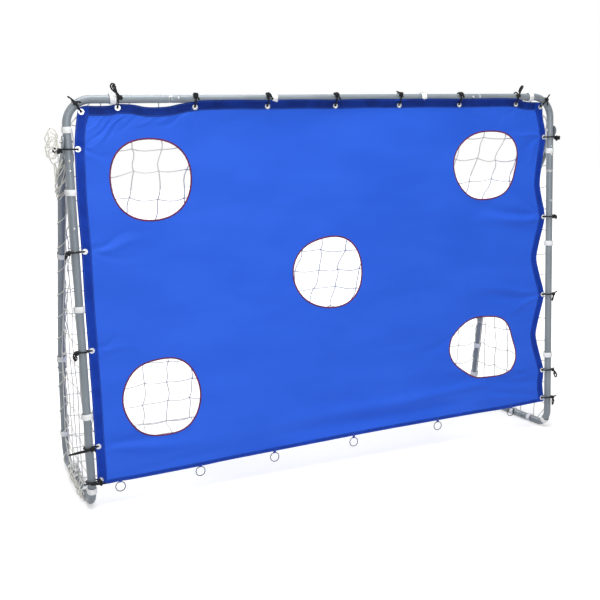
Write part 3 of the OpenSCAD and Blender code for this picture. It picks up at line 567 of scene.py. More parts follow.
def post_tape(sign, z, start):
    """A strap on a post at height z; the topmost ones sit closer on the tube."""
    return tape((sign * post_x, front, z), (0, 0, 1), wrap_r if z < 1.245 else bare_r, start)


piece("tapes_crossbar", [tape((x, front, bar_z), (1, 0, 0), wrap_r, (0, 0.9, s)) for x, s in
                         ((-0.884, 0.5), (-0.2625, -0.4), (0.4005, 0.7), (0.940, 0.2))],
      tape_finish, ["crossbar_straps"])
piece("tapes_post_left", [post_tape(-1, z, (-0.5, 1, 0)) for z in (0.359, 0.759, 1.181, 1.400)]
      + [foot_tape(-1, 10)], tape_finish, ["post_straps_left"])
piece("tapes_post_right", [post_tape(1, z, (0.6, 1, 0)) for z in (0.348, 0.861, 1.2725)]
      + [foot_tape(1, 43)], tape_finish, ["post_straps_right"])
piece("tapes_stay_left", [stay_tape(-1, z, (1, 0.6, 0.2)) for z in (0.140, 0.478, 0.938)],
      tape_finish, ["stay_straps_left"])
piece("tapes_stay_right", [stay_tape(1, z, (-1, 0.5, 0.3)) for z in (0.140, 0.296, 0.650, 1.040)],
      tape_finish, ["stay_straps_right"])
for side, sign, depths in (("left", -1, (0.150, 0.320, 0.460)), ("right", 1, (0.125, 0.255, 0.430))):
    piece("tapes_base_" + side, [tape((sign * post_x, front + y, foot_z + 0.00125), (0, 1, 0),
                                      0.01635, (0.4, 0, 1), lift=0.0004) for y in depths],
          tape_finish, ["base_straps_" + side])


# Target sheet: blue coated polyester, laced into the front of the frame and never quite
# flat. It has five round holes to aim at, creases run from the eyelets that pull it, and
# its right side is drawn in deeply between them.
from mathutils.geometry import delaunay_2d_cdt

sheet_x = 1.027
cloth_half = 0.0006
top_row = [0.8655 * (k / 3 - 1) for k in range(7)]
side_rows = {-1: [0.1092, 0.2392, 0.6035, 0.9678, 1.3321], 1: [0.1488, 0.2788, 0.6299, 0.9810, 1.3321]}
corner_eyelet = (0.9955, 1.4621)
eyelets = [(x, 1.4745) for x in top_row] + [(s * corner_eyelet[0], corner_eyelet[1]) for s in (-1, 1)]
eyelets += [(s * 1.016, z) for s in (-1, 1) for z in side_rows[s]]
targets = [(-0.0465, 0.8161, 0.1490, [(2, 0.0050, -0.0016), (3, -0.0042, 0.0012), (4, -0.0021, -0.0007)]),
           (-0.7567, 1.2154, 0.1519, [(2, 0.0022, 0.0000), (3, 0.0007, 0.0010), (4, -0.0029, 0.0002)]),
           (-0.7614, 0.3940, 0.1500, [(3, -0.0019, -0.0004), (4, -0.0025, -0.0009), (6, 0.0013, 0.0003)]),
           (0.7121, 1.2203, 0.1535, [(2, 0.0076, 0.0042), (3, -0.0038, 0.0037), (4, -0.0031, 0.0009),
                                     (5, -0.0021, 0.0012)]),
           (0.7004, 0.4197, 0.1524, [(2, 0.0140, -0.0100), (3, -0.0068, -0.0038), (4, -0.0025, -0.0038),
                                     (5, -0.0043, -0.0016)])]


def smooth(points, per=7):
    """A soft curve through a few points."""
    points = np.asarray(points, float)
    ends = np.concatenate([[2 * points[0] - points[1]], points, [2 * points[-1] - points[-2]]])
    t = np.linspace(0, 1, per, endpoint=False)[:, None]
    curve = [0.5 * (2 * b + (c - a) * t + (2 * a - 5 * b + 4 * c - d) * t ** 2
                    + (3 * b - a - 3 * c + d) * t ** 3)
             for a, b, c, d in zip(ends, ends[1:], ends[2:], ends[3:])]
    return np.concatenate(curve + [points[-1:]])


def lower_edge(x):
    return 0.112 + 0.020 * x / sheet_x


def bay(p, q, inward, depth, steps, tip=0.5):
    """The edge between two eyelets, drawn in most at its tip; it leaves out its last point."""
    points = []
    for k in range(steps):
        t = k / steps
        s = 0.5 * t / tip if t < tip else 0.5 + 0.5 * (t - tip) / (1 - tip)
        dip = depth * (1 - (abs(2 * s - 1) ** 2 + 0.004) ** 0.6)
        points.append((p[0] + (q[0] - p[0]) * t + inward * dip, p[1] + (q[1] - p[1]) * t))
    return points


def side_edge_line(sign, depths, tips, corner):
    """One side of the sheet, from its lower corner up and round the upper one."""
    z = side_rows[sign]
    line = bay((sign * sheet_x, lower_edge(sign * sheet_x)), (sign * sheet_x, z[0]), 0, 0, 3)
    for k in range(4):
        line += bay((sign * sheet_x, z[k]), (sign * sheet_x, z[k + 1]), -sign, depths[k],
                    12 if k == 0 else 30, tips[k])
    curve = smooth([(sign * sheet_x, z[4])] + [(sign * x, h) for x, h in corner], 4)
    return line + [tuple(point) for point in curve]


right_edge = side_edge_line(1, (0.010, 0.053, 0.052, 0.035), (0.5, 0.49, 0.48, 0.42),
                            [(1.0185, 1.378), (1.0090, 1.422), (1.0068, 1.458), (0.9995, 1.4752),
                             (0.9860, 1.4805), (0.9680, 1.4818)])
left_edge = side_edge_line(-1, (0.001, 0.001, -0.002, -0.004), (0.5, 0.4, 0.55, 0.5),
                           [(1.0215, 1.385), (1.0135, 1.432), (1.0070, 1.461), (0.9995, 1.4755),
                            (0.9860, 1.4808), (0.9680, 1.4815)])
top_edge = smooth([right_edge[-1], (0.936, 1.4828), (0.905, 1.4860), (0.8655, 1.4950),
                   (0.800, 1.4982), (0.690, 1.4975), (0.577, 1.4965), (0.430, 1.4985),
                   (0.2885, 1.4975), (0.150, 1.4985), (0.0, 1.4965), (-0.150, 1.4985),
                   (-0.2885, 1.4970), (-0.430, 1.4985), (-0.537, 1.4970), (-0.577, 1.4935),
                   (-0.630, 1.4865), (-0.676, 1.4775), (-0.721, 1.4745), (-0.765, 1.4760),
                   (-0.810, 1.4845), (-0.8655, 1.4870), (-0.896, 1.4815), (-0.938, 1.4805),
                   left_edge[-1]], 9)
foot_edge = smooth([(x, lower_edge(x) + rise) for x, rise in
                    ((-sheet_x, 0), (-0.99, -0.002), (-0.943, -0.001), (-0.87, -0.0025),
                     (-0.63, -0.001), (-0.50, 0.002), (-0.11, 0.004), (0.17, 0.005), (0.32, 0.004),
                     (0.63, 0.001), (0.79, -0.002), (0.95, -0.001), (sheet_x, 0))], 14)
sheet_outline = right_edge + [tuple(p) for p in top_edge[1:]] + left_edge[::-1][1:]
sheet_outline += [tuple(p) for p in foot_edge[1:-1]]

# Each crease: its start and end across and up, then its height and width, in millimetres.
creases = [
    (-868, 1448, -990, 1345, 4.4, 5.2), (-850, 1446, -968, 1335, -4, 5),
    (-884, 1460, -1000, 1385, -3.6, 4.6), (-836, 1448, -930, 1355, 2.8, 5.2),
    (-590, 1462, -720, 1400, 3.4, 7.5), (-610, 1462, -770, 1412, -3, 7),
    (-760, 1456, -900, 1380, 3.2, 7.5), (-690, 1450, -830, 1405, -3, 7),
    (-570, 1460, -600, 1340, 1.6, 12), (-280, 1455, -590, 1392, 3, 20),
    (-995, 970, -830, 1040, 3.2, 12), (-995, 960, -760, 1010, -3.6, 16),
    (-995, 965, -800, 915, 2.2, 14), (-995, 1330, -880, 1290, 2.4, 10),
    (-995, 1325, -900, 1235, -2, 10), (-995, 605, -900, 650, 2.8, 10),
    (-995, 600, -820, 600, -2.6, 14), (-990, 242, -620, 236, 6, 22),
    (-990, 225, -540, 190, -5.5, 24), (-980, 120, -300, 160, 4, 16),
    (990, 232, 480, 290, 6.6, 22), (990, 150, 350, 215, -6, 23),
    (700, 250, -450, 205, -8.5, 30), (600, 190, -600, 160, 7, 28),
    (990, 279, 380, 355, -3.6, 13), (990, 285, 700, 262, 4, 12),
    (990, 160, 620, 250, 4, 11), (990, 632, 600, 650, 6.2, 20),
    (990, 640, 560, 706, -5.6, 21), (990, 620, 800, 560, -4, 14),
    (985, 985, 560, 1065, 5.6, 22), (985, 975, 600, 985, -7, 24),
    (990, 990, 860, 1100, 3.8, 12), (990, 1335, 830, 1352, -3.4, 10),
    (985, 1325, 870, 1270, 3.4, 11), (985, 1318, 900, 1180, -2.8, 12),
    (868, 1460, 965, 1410, 2.6, 6.5), (880, 1455, 950, 1380, -2, 6.5),
    (585, 1455, 740, 1390, 2.6, 11), (600, 1462, 800, 1410, -2, 11),
    (850, 1455, 740, 1380, 1.8, 12), (560, 480, 350, 420, 4, 18),
]


def soft_step(value, low, high):
    t = np.clip((value - low) / (high - low), 0, 1)
    return t * t * (3 - 2 * t)


def fall(x, z):
    """How far the cloth stands behind the frame's front plane at a place, before it is thickened."""
    x, z = np.asarray(x, float), np.asarray(z, float)
    wave = (0.0050 * np.sin(2.9 * x + 1.7 * z + 0.3) + 0.0034 * np.sin(5.1 * x - 3.7 * z + 1.9)
            + 0.0016 * np.sin(9.7 * x + 6.1 * z + 0.7)
            + 0.0007 * np.sin(23 * x - 17 * z) * np.sin(13 * z + 4))
    for hx, hz, hole_r, _ in targets:
        round_hole = np.hypot(x - hx, z - hz)
        rim_wave = np.sin(2 * np.arctan2(z - hz, x - hx) + hx * 5)
        wave += 0.0024 * np.exp(-((round_hole - hole_r) / 0.05) ** 2) * rim_wave
    for crease in creases:
        x0, z0, x1, z1, height, width = (v * 0.001 for v in crease)
        dx, dz = x1 - x0, z1 - z0
        length = math.hypot(dx, dz)
        t = ((x - x0) * dx + (z - z0) * dz) / length ** 2
        off = ((x - x0) * dz - (z - z0) * dx) / length + 0.006 * np.sin(7 * t + height * 900)
        wide = width * (0.55 + 0.75 * np.clip(t, 0, 1))
        strength = soft_step(t, -0.12, 0.10) * (1 - soft_step(t, 0.35, 1.1))
        wave += height * strength * np.exp(-(off / wide) ** 2)
    for ex, ez in eyelets:
        away = np.hypot(x - ex, z - ez)
        turn = np.arctan2(z - ez, x - ex)
        wave += 0.0016 * np.sin(9 * turn + ex * 31 + ez * 17) * np.exp(-((away - 0.034) / 0.020) ** 2)
    hold = soft_step(1.487 - z, -0.01, 0.09) * 0.9 + 0.1
    hold = hold * (0.55 + 0.45 * soft_step(sheet_x - np.abs(x), 0.0, 0.10))
    hold = hold * (0.12 + 0.88 * soft_step(z - lower_edge(x), 0.0, 0.07))
    for ex, ez in eyelets:
        hold = hold * soft_step(np.hypot(x - ex, z - ez), 0.012, 0.040)
    tied = np.zeros_like(x)
    for ex in top_row:
        tied = np.maximum(tied, 1 - soft_step(np.abs(x - ex), 0.010, 0.030))
    lean = np.clip((z - 1.4725 - 0.0125 * tied) * (0.66 + 0.84 * tied), 0, 0.0160)
    return wave * hold - lean * soft_step(x, -0.66, -0.56) * soft_step(-x, -0.93, -0.87)


def inside(points, loop):
    """Which points lie within a closed outline."""
    loop = np.asarray(loop, float)
    found = np.zeros(len(points), bool)
    for (x0, z0), (x1, z1) in zip(loop, np.roll(loop, -1, 0)):
        if z0 != z1:
            between = (points[:, 1] > min(z0, z1)) & (points[:, 1] <= max(z0, z1))
            found ^= between & (points[:, 0] < (x1 - x0) * (points[:, 1] - z0) / (z1 - z0) + x0)
    return found


def ring(x, z, r, count, waves=()):
    """A round outline, with its shape's slow waves round the edge."""
    turns = [2 * math.pi * k / count for k in range(count)]
    sizes = [r + sum(a * math.cos(n * t) + b * math.sin(n * t) for n, a, b in waves) for t in turns]
    return [(x + s * math.cos(t), z + s * math.sin(t)) for s, t in zip(sizes, turns)]


def cut_cloth(outline, holes, pitch, near, far, fine=()):
    """A closed skin of cloth between two depths off its fall; each fine box has its own, closer grid."""
    loops = [outline] + holes
    bounds = np.array(outline)
    low, high = bounds.min(0), bounds.max(0)
    rim = np.concatenate([np.asarray(loop, float) for loop in loops])
    spots = []
    for step, *box in [(pitch, low[0], low[1], high[0], high[1])] + list(fine):
        rows = np.arange(box[1], box[3], step * 0.866)
        for k, z in enumerate(rows):
            x = np.arange(box[0] + (step / 2 if k % 2 else 0), box[2], step)
            spots.append(np.stack([x, np.full(len(x), z)], 1))
    spots = np.concatenate(spots)
    spots = spots[inside(spots, outline)]
    for hole in holes:
        spots = spots[~inside(spots, hole)]
    crowd = {}
    for x, z in rim:
        crowd.setdefault((int(x // pitch), int(z // pitch)), []).append((x, z))
    kept = []
    for x, z in spots.tolist():
        i, j = int(x // pitch), int(z // pitch)
        close = [p for a in (-1, 0, 1) for b in (-1, 0, 1) for p in crowd.get((i + a, j + b), ())]
        if all(max(abs(x - u), abs(z - v)) > pitch * 0.22 for u, v in close):
            kept.append((x, z))
    spots = np.array(kept)
    ties, start = [], 0
    for loop in loops:
        ties += [(start + k, start + (k + 1) % len(loop)) for k in range(len(loop))]
        start += len(loop)
    marks = [Vector(p) for p in np.concatenate([rim, spots]).tolist()]
    points, _, faces, *_ = delaunay_2d_cdt(marks, ties, [], 0, 1e-7)
    flat = np.array([tuple(p) for p in points])
    faces = np.array([f for f in faces if len(f) == 3])
    middle = flat[faces].mean(1)
    keep = inside(middle, outline)
    for hole in holes:
        keep &= ~inside(middle, hole)
    faces = faces[keep]
    a, b, c = (flat[faces[:, k]] for k in range(3))
    ab, ac = b - a, c - a
    turned = ab[:, 0] * ac[:, 1] - ab[:, 1] * ac[:, 0] < 0
    faces[turned] = faces[turned][:, ::-1]
    used = np.unique(faces)
    number = np.full(len(flat), -1)
    number[used] = np.arange(len(used))
    flat, faces = flat[used], number[faces]
    depth = fall(flat[:, 0], flat[:, 1])
    near = near(flat) if callable(near) else near
    far = far(flat) if callable(far) else far
    skins = [np.stack([flat[:, 0], front + depth + d, flat[:, 1]], 1) for d in (near, far)]
    count = len(flat)
    sides = np.concatenate([faces[:, [0, 1]], faces[:, [1, 2]], faces[:, [2, 0]]])
    there = {(int(i), int(j)) for i, j in sides}
    walls = [(j, i, i + count, j + count) for i, j in there if (j, i) not in there]
    back_faces = [tuple(f[::-1]) for f in (faces + count).tolist()]
    return np.concatenate(skins), [tuple(f) for f in faces.tolist()] + back_faces + walls


def coated_cloth(where):
    warp = where.add("TexWave", {"bands_direction": "X", "wave_profile": "TRI"},
                     {"Vector": where, "Scale": 330.0, "Distortion": 0.4})
    weft = where.add("TexWave", {"bands_direction": "Z", "wave_profile": "TRI"},
                     {"Vector": where, "Scale": 330.0, "Distortion": 0.4})
    uneven = (where * (1.0, 1.0, 3.0)).noise(3.0, 3.0)
    crumple = (where * (1.0, 1.0, 1.6)).noise(9.0, 3.0)
    faded = uneven.fade(0.3, 0.7)
    return {"Base Color": faded.paint((0.016, 0.100, 0.650), (0.021, 0.114, 0.700)),
            "Roughness": 0.56 + uneven * 0.10,
            "Normal": ((warp + weft) * 0.06 + crumple * 1.4).relief(0.30, 1.2)}


eyelet_cuts = [ring(x, z, 0.0068, 16) for x, z in eyelets]
target_cuts = [ring(x, z, r, 110, waves) for x, z, r, waves in targets]
sheet_mesh = cut_cloth(sheet_outline, target_cuts + eyelet_cuts, 0.0105, -cloth_half, cloth_half,
                       [(0.0032, -1.01, 1.33, -0.80, 1.48), (0.0045, -0.80, 1.36, -0.55, 1.48),
                        (0.0036, -0.90, 1.470, 0.90, 1.495), (0.0045, 0.56, 1.36, 0.80, 1.46),
                        (0.0036, 0.80, 1.33, 1.00, 1.48), (0.0060, -1.02, 0.90, -0.80, 1.06),
                        (0.0060, -1.02, 0.56, -0.84, 0.68), (0.0060, 0.80, 0.56, 1.00, 1.12)])
target_sheet = piece("target_sheet", [sheet_mesh],
                     finish("blue_coated_cloth", coated_cloth, Specular_IOR_Level=0.22),
                     ["target_panel"])


# Hems: navy tape at the top, blue at the sides and foot, folded over the sheet's edge
# and sewn down with two rows of stitches. The thread puckers them a little.
def offset_line(line, width):
    """A line moved to its left by a width, which may change along it."""
    line = np.asarray(line, float)
    ahead = np.gradient(line, axis=0)
    ahead /= np.linalg.norm(ahead, axis=1)[:, None]
    for _ in range(2):
        ahead[1:-1] = (ahead[:-2] + ahead[1:-1] * 2 + ahead[2:]) / 4
    left = np.stack([-ahead[:, 1], ahead[:, 0]], 1)
    return line + left / np.linalg.norm(left, axis=1)[:, None] * np.asarray(width).reshape(-1, 1)


def line_place(points, line):
    """For each point, its distance from a line and how far along the line it lies."""
    line = np.asarray(line, float)
    run = run_along(line)
    best, along = np.full(len(points), 9.0), np.zeros(len(points))
    for k in range(len(line) - 1):
        step = line[k + 1] - line[k]
        t = np.clip(((points - line[k]) @ step) / (step @ step), 0, 1)
        away = np.linalg.norm(points - line[k] - t[:, None] * step, axis=1)
        closer = away < best
        best[closer] = away[closer]
        along[closer] = (run[k] + t * (run[k + 1] - run[k]))[closer]
    return best, along


def hem(name, line, inner, width, material, node, thick):
    """A tape folded over an edge: a band on each face of the cloth and the fold that joins them."""
    line = np.asarray(line, float)
    strip = [tuple(p) for p in line] + [tuple(p) for p in inner[::-1]]
    near = [cut for cut, (x, z) in zip(eyelet_cuts, eyelets) if inside(np.array([(x, z)]), strip)[0]]

    def pucker(flat):
        away, along = line_place(flat, line)
        deep = away / width
        ripple = np.sin(along * 330 + np.sin(along * 71) * 2)
        return 0.00045 * ripple * np.sin(np.clip(deep, 0, 1) * 2.9) ** 2

    parts = [cut_cloth(strip, near, 0.0065,
                       lambda f: -cloth_half - thick + pucker(f), -cloth_half + 0.0001),
             cut_cloth(strip, near, 0.0085,
                       cloth_half - 0.0001, lambda f: cloth_half + thick - pucker(f))]
    edge = np.stack([line[:, 0], front + fall(line[:, 0], line[:, 1]), line[:, 1]], 1)
    parts.append(tube(edge, cloth_half + thick, 8))
    made = piece(name, parts, material, [node])
    flat = np.array([(v.co.x, v.co.z) for v in made.data.vertices])
    away, along = line_place(flat, line)
    for key, values in (("from_edge", away), ("along_edge", along),
                        ("tape_width", np.full(len(away), width))):
        kept = made.data.attributes.new(key, "FLOAT", "POINT")
        kept.data.foreach_set("value", values.astype(np.float32))
    return made


def sewn_tape(dark, light):
    def recipe(where):
        away, along, width = (where.add("Attribute", {"attribute_name": n}, out="Fac")
                              for n in ("from_edge", "along_edge", "tape_width"))
        rib = where.add("TexWave", {"bands_direction": "DIAGONAL"}, {"Vector": where, "Scale": 280.0})
        seam = (abs(away - width + 0.0028).fade(0.0008, 0.0004)
                + abs(away - 0.0034).fade(0.0008, 0.0004))
        pitch = along.add("Math", {"operation": "PINGPONG"}, {0: along, 1: 0.0021})
        dash = abs(pitch).fade(0.0005, 0.0008)
        stitch = seam * dash
        shade = where.noise(18.0, 4.0).fade(0.3, 0.7)
        return {"Base Color": stitch.paint(shade.paint(dark, light), (0.05, 0.12, 0.45)),
                "Roughness": 0.62 + rib * 0.1 - stitch * 0.15,
                "Normal": (stitch * 1.2 + rib * 0.12 + where.noise(60.0, 3.0) * 0.8
                           - seam * 0.5).relief(0.45, 0.5)}
    return recipe


def side_inner(line, sign, width):
    """The sewn edge of a side hem: its width in from the side, then straight up to the top edge."""
    low = [p for p in line if p[1] < 1.425]
    moved = offset_line(low, width if sign > 0 else -width)
    return [tuple(p) for p in moved] + [(sign * 0.9700, 1.446), (sign * 0.9682, 1.470)]


side_tape = finish("blue_hem_tape", sewn_tape((0.002, 0.030, 0.290), (0.004, 0.040, 0.370)),
                   Specular_IOR_Level=0.15)
top_tape = finish("navy_hem_tape", sewn_tape((0.001, 0.016, 0.150), (0.003, 0.027, 0.230)),
                  Specular_IOR_Level=0.15)
right_w, left_w, top_w, foot_w = 0.030, 0.034, 0.033, 0.014
hems = [hem("right_hem", right_edge, side_inner(right_edge, 1, right_w), right_w, side_tape,
            "hem_right", 0.0010),
        hem("left_hem", left_edge, side_inner(left_edge, -1, left_w), left_w, side_tape,
            "hem_left", 0.0010),
        hem("top_hem", top_edge, offset_line(top_edge, top_w), top_w, top_tape, "hem_top", 0.0008),
        hem("foot_hem", foot_edge, offset_line(foot_edge, foot_w), foot_w, side_tape,
            "hem_bottom", 0.0008)]


# Bindings: narrow crimson tape folded over the cut edge of each target hole and sewn
# through, so that the ball can't tear the cloth.
binding_w = 0.005


def bound_tape(where):
    rib = where.add("TexWave", {"bands_direction": "DIAGONAL"}, {"Vector": where, "Scale": 420.0})
    worn = where.noise(55.0, 4.0)
    return {"Base Color": worn.fade(0.3, 0.75).paint((0.075, 0.003, 0.034), (0.170, 0.007, 0.052)),
            "Roughness": 0.58 + rib * 0.15,
            "Normal": (rib * 0.5 + worn).relief(0.5, 0.35)}


def bound_edge(loop):
    """The tape round one hole, rolled over the edge of the cloth."""
    loop = np.asarray(loop, float)
    middle = loop.mean(0)
    out = loop - middle
    out /= np.linalg.norm(out, axis=1)[:, None]
    half = cloth_half + 0.0008
    shape = [(binding_w, -half + 0.0007), (binding_w - 0.0005, -half), (0.0020, -half - 0.0003),
             (0.0002, -half * 0.9), (-0.0010, 0.0), (0.0002, half * 0.9), (0.0020, half + 0.0003),
             (binding_w - 0.0005, half), (binding_w, half - 0.0007)]
    verts = []
    for k, (point, way) in enumerate(zip(loop, out)):
        for across, depth in shape:
            x, z = point + way * (across + 0.0003 * math.sin(k * 1.9))
            verts.append((x, front + float(fall(x, z)) + depth, z))
    n, count = len(shape), len(loop)
    return verts, [(k * n + i, (k + 1) % count * n + i, (k + 1) % count * n + (i + 1) % n,
                    k * n + (i + 1) % n) for k in range(count) for i in range(n)]


bindings = piece("target_bindings",
                 [bound_edge(ring(x, z, r, 160, waves)) for x, z, r, waves in targets],
                 finish("crimson_binding", bound_tape, Specular_IOR_Level=0.3),
                 ["hole_bindings"])


# Eyelets: two-part pressed brass, nickel plated, with a rolled flange on both faces.
def nickel(where):
    rub = where.noise(240.0, 4.0)
    return {"Base Color": rub.fade(0.35, 0.7).paint((0.38, 0.40, 0.43), (0.55, 0.57, 0.60)),
            "Roughness": 0.16 + rub * 0.18,
            "Normal": rub.relief(0.2, 0.05)}


dress(finish("nickel_eyelet", nickel, Metallic=1.0), "eyelets")


# Ties: two thin black cords laid together, each looped through an eyelet and round its
# tube, knotted, and left with its ends as they fall. The two outermost ties of the top
# row keep a folded loop above the knot.
strand_r = 0.00185
strand_off = 0.00165
strand_pitch = 0.017
mm = 0.001


def laid(path, closed=False, phase=0.0):
    """Two strands laid round each other along a path."""
    path = np.asarray(path, float)
    run = run_along(path)
    at = np.linspace(0, run[-1], max(6, int(run[-1] / 0.0014)))
    path = resampled(path, run, at)
    ahead = np.gradient(path, axis=0)
    ahead /= np.linalg.norm(ahead, axis=1)[:, None] + 1e-12
    side = np.cross(ahead, (0.13, 0.41, 0.90))
    side /= np.linalg.norm(side, axis=1)[:, None] + 1e-12
    up = np.cross(ahead, side)
    rate = max(1, round(run[-1] / strand_pitch)) / run[-1] if closed else 1 / strand_pitch
    turns = 2 * math.pi * rate * at
    parts = []
    for half in (0.0, math.pi):
        turn = turns + half + phase
        swing = strand_off * (side * np.cos(turn)[:, None] + up * np.sin(turn)[:, None])
        parts.append(tube(path + swing, strand_r, 6))
    return parts


def belt(circles):
    """The taut loop round circles in a tie's plane, from its outermost point."""
    hull = []
    for k in range(720):
        way = (math.cos(math.pi * k / 360), math.sin(math.pi * k / 360))
        x, y, r = max(circles, key=lambda c: c[0] * way[0] + c[1] * way[1] + c[2])
        hull.append((x + r * way[0], y + r * way[1]))
    hull = np.array(hull + hull[:1])
    run = run_along(hull)
    return resampled(hull, run, np.linspace(0, run[-1], 90))


def knot_line(middle, out, size, seed):
    """A small overhand knot pulled tight."""
    out = Vector(out).normalized()
    side = out.cross(Vector((0.1, 1, 0.2))).normalized()
    up = out.cross(side)
    twist = random.Random(seed).uniform(0, 6.28)
    line = []
    for k in range(73):
        t = 2 * math.pi * k / 72
        wide = size * (0.56 + 0.30 * math.cos(3 * t + twist))
        line.append(Vector(middle) + (side * math.cos(2 * t) + out * math.sin(2 * t) * 0.85) * wide
                    + up * math.sin(3 * t + twist) * size * 0.62)
    return [tuple(p) for p in line]


def tie(middle, out, circles, tails, size, seed, knot_at):
    """A whole tie: its loop, its knot, placed out, back and along the tube, and its tails.

    The knot's place and the tails' points from there are in millimetres.
    """
    out, back = Vector(out), Vector((0, 1, 0))
    loop = [Vector(middle) + out * x + back * y for x, y in belt(circles)]
    parts = laid([tuple(p) for p in loop], True, seed)
    along = Vector((1, 0, 0)) if out.z > 0.9 else Vector((0, 0, 1))
    heart = Vector(middle) + (out * knot_at[0] + back * knot_at[1] + along * knot_at[2]) * mm
    near = min(loop, key=lambda p: (p - heart).length)
    if (near - heart).length > 0.008:
        for shift in (-1, 1):
            lead = [near + (heart - near) * t + Vector((0, 0, shift * 0.0035 * math.sin(3 * t)))
                    for t in (0, 0.25, 0.5, 0.75, 1)]
            parts += laid(smooth([tuple(p) for p in lead]), False, shift)
    parts += laid(knot_line(heart, out, size, seed), True, 0.3 * seed)
    parts += laid(knot_line(heart, out, size * 0.70, seed + 7), True, seed)
    parts += laid(knot_line(heart, back, size * 0.85, seed + 3), True, seed)
    for k, tail in enumerate(tails):
        line = [heart + Vector(tail[0]) * 0.3 * mm] + [heart + Vector(p) * mm for p in tail]
        parts += laid(smooth([tuple(p) for p in line]), False, seed + 2 * k)
    return parts


def braided_cord(where):
    braid = where.add("TexWave", {"bands_direction": "DIAGONAL"},
                      {"Vector": where, "Scale": 420.0, "Distortion": 2.0})
    fuzz = where.noise(900.0, 2.0)
    shade = (braid * 0.6 + fuzz * 0.4).fade(0.2, 0.9)
    return {"Base Color": shade.paint((0.006, 0.006, 0.007), (0.024, 0.025, 0.028)),
            "Roughness": 0.60 + fuzz * 0.2,
            "Normal": (braid + fuzz * 0.4).relief(0.5, 0.25)}


cord_finish = finish("black_braided_cord", braided_cord, Specular_IOR_Level=0.25)
bar_loop = [(0, 0, 0.0201), (-0.0254, 0, 0.0051)]
post_loop = [(0, 0, 0.0201), (-0.0289, 0, 0.0051)]
bend_loop = [(0, 0, 0.0176), (-0.0259, 0, 0.0051)]
stay_loop = post_loop + [(0.0182, 0.0444, 0.004), (0.0182, -0.0106, 0.004)]

folded_left = [(-3, -2, 4), (-10, -3, 12), (-21, -4, 20), (-31, -5, 30),
               (-34, -5, 41), (-28, -4, 48), (-20, -3, 45), (-16, -2, 34),
               (-14, -1, 22), (-8, 0, 12), (-2, 1, 4)]
folded_left_inner = [(-2, -1, 4), (-12, -2, 16), (-22, -6, 28), (-27, -6, 39),
                     (-22, -6, 42), (-18, -5, 31), (-12, -3, 18)]
folded_right = [(0, -2, 5), (3, -3, 14), (9, -4, 24), (17, -5, 34),
                (20, -5, 40), (12, -4, 40), (4, -3, 30), (-1, -2, 16)]
folded_right_inner = [(1, -5, 6), (6, -7, 20), (13, -8, 32), (10, -7, 35),
                      (4, -6, 22)]
top_tails = [
    [folded_left, folded_left_inner],
    [[(2, -3, -2), (7, -4, -10), (11, -4, -19)],
     [(-3, -2, 1), (-6, -3, -7), (-5, -3, -14)]],
    [[(-2, -2, 2), (-6, -3, -4), (-7, -3, -14)],
     [(3, -3, -2), (10, -4, -8), (16, -4, -18)]],
    [[(-3, -2, 2), (-9, -3, 4), (-16, -3, 0)],
     [(3, -4, -2), (7, -5, -10), (12, -4, -18)]],
    [[(-3, -2, 2), (-12, -3, 7), (-23, -3, 11)],
     [(2, -4, -3), (6, -5, -11)]],
    [[(-3, -2, 2), (-12, -4, 4), (-21, -5, 2)],
     [(3, -3, -1), (8, -5, -8), (9, -4, -16)]],
    [folded_right, folded_right_inner]]
tie_parts = []
for k, (x, tails) in enumerate(zip(top_row, top_tails)):
    folded = k in (0, 6)
    tie_parts += tie((x, front, bar_z), (0, 0, 1), bar_loop, tails, 0.0082 if folded else 0.0092, k + 1,
                     (4, -21.5, 8 if k == 0 else 0) if folded else (12.5, -19.5, 0))
for sign, tails in ((-1, [[(-3, -2, 5), (-14, -5, 14), (-26, -7, 22)],
                          [(4, -3, 3), (10, -6, 4), (19, -9, 1)],
                          [(2, -6, -2), (7, -10, -8), (9, -11, -17)]]),
                    (1, [[(1, -2, 6), (4, -4, 14), (11, -6, 22)],
                         [(-4, -3, 3), (-11, -7, 5), (-19, -11, 3)],
                         [(-2, -6, -4), (-6, -11, -14), (-4, -11, -26)]])):
    turn = math.radians(53)
    at = (sign * (0.960 + top_bend * math.cos(turn)), front, 1.415 + top_bend * math.sin(turn))
    tie_parts += tie(at, (sign * math.cos(turn), 0, math.sin(turn)), bend_loop, tails, 0.0070, 20 + sign,
                     (6, -18.5, 0))
piece("top_tie_cords", tie_parts, cord_finish, ["top_ties"])

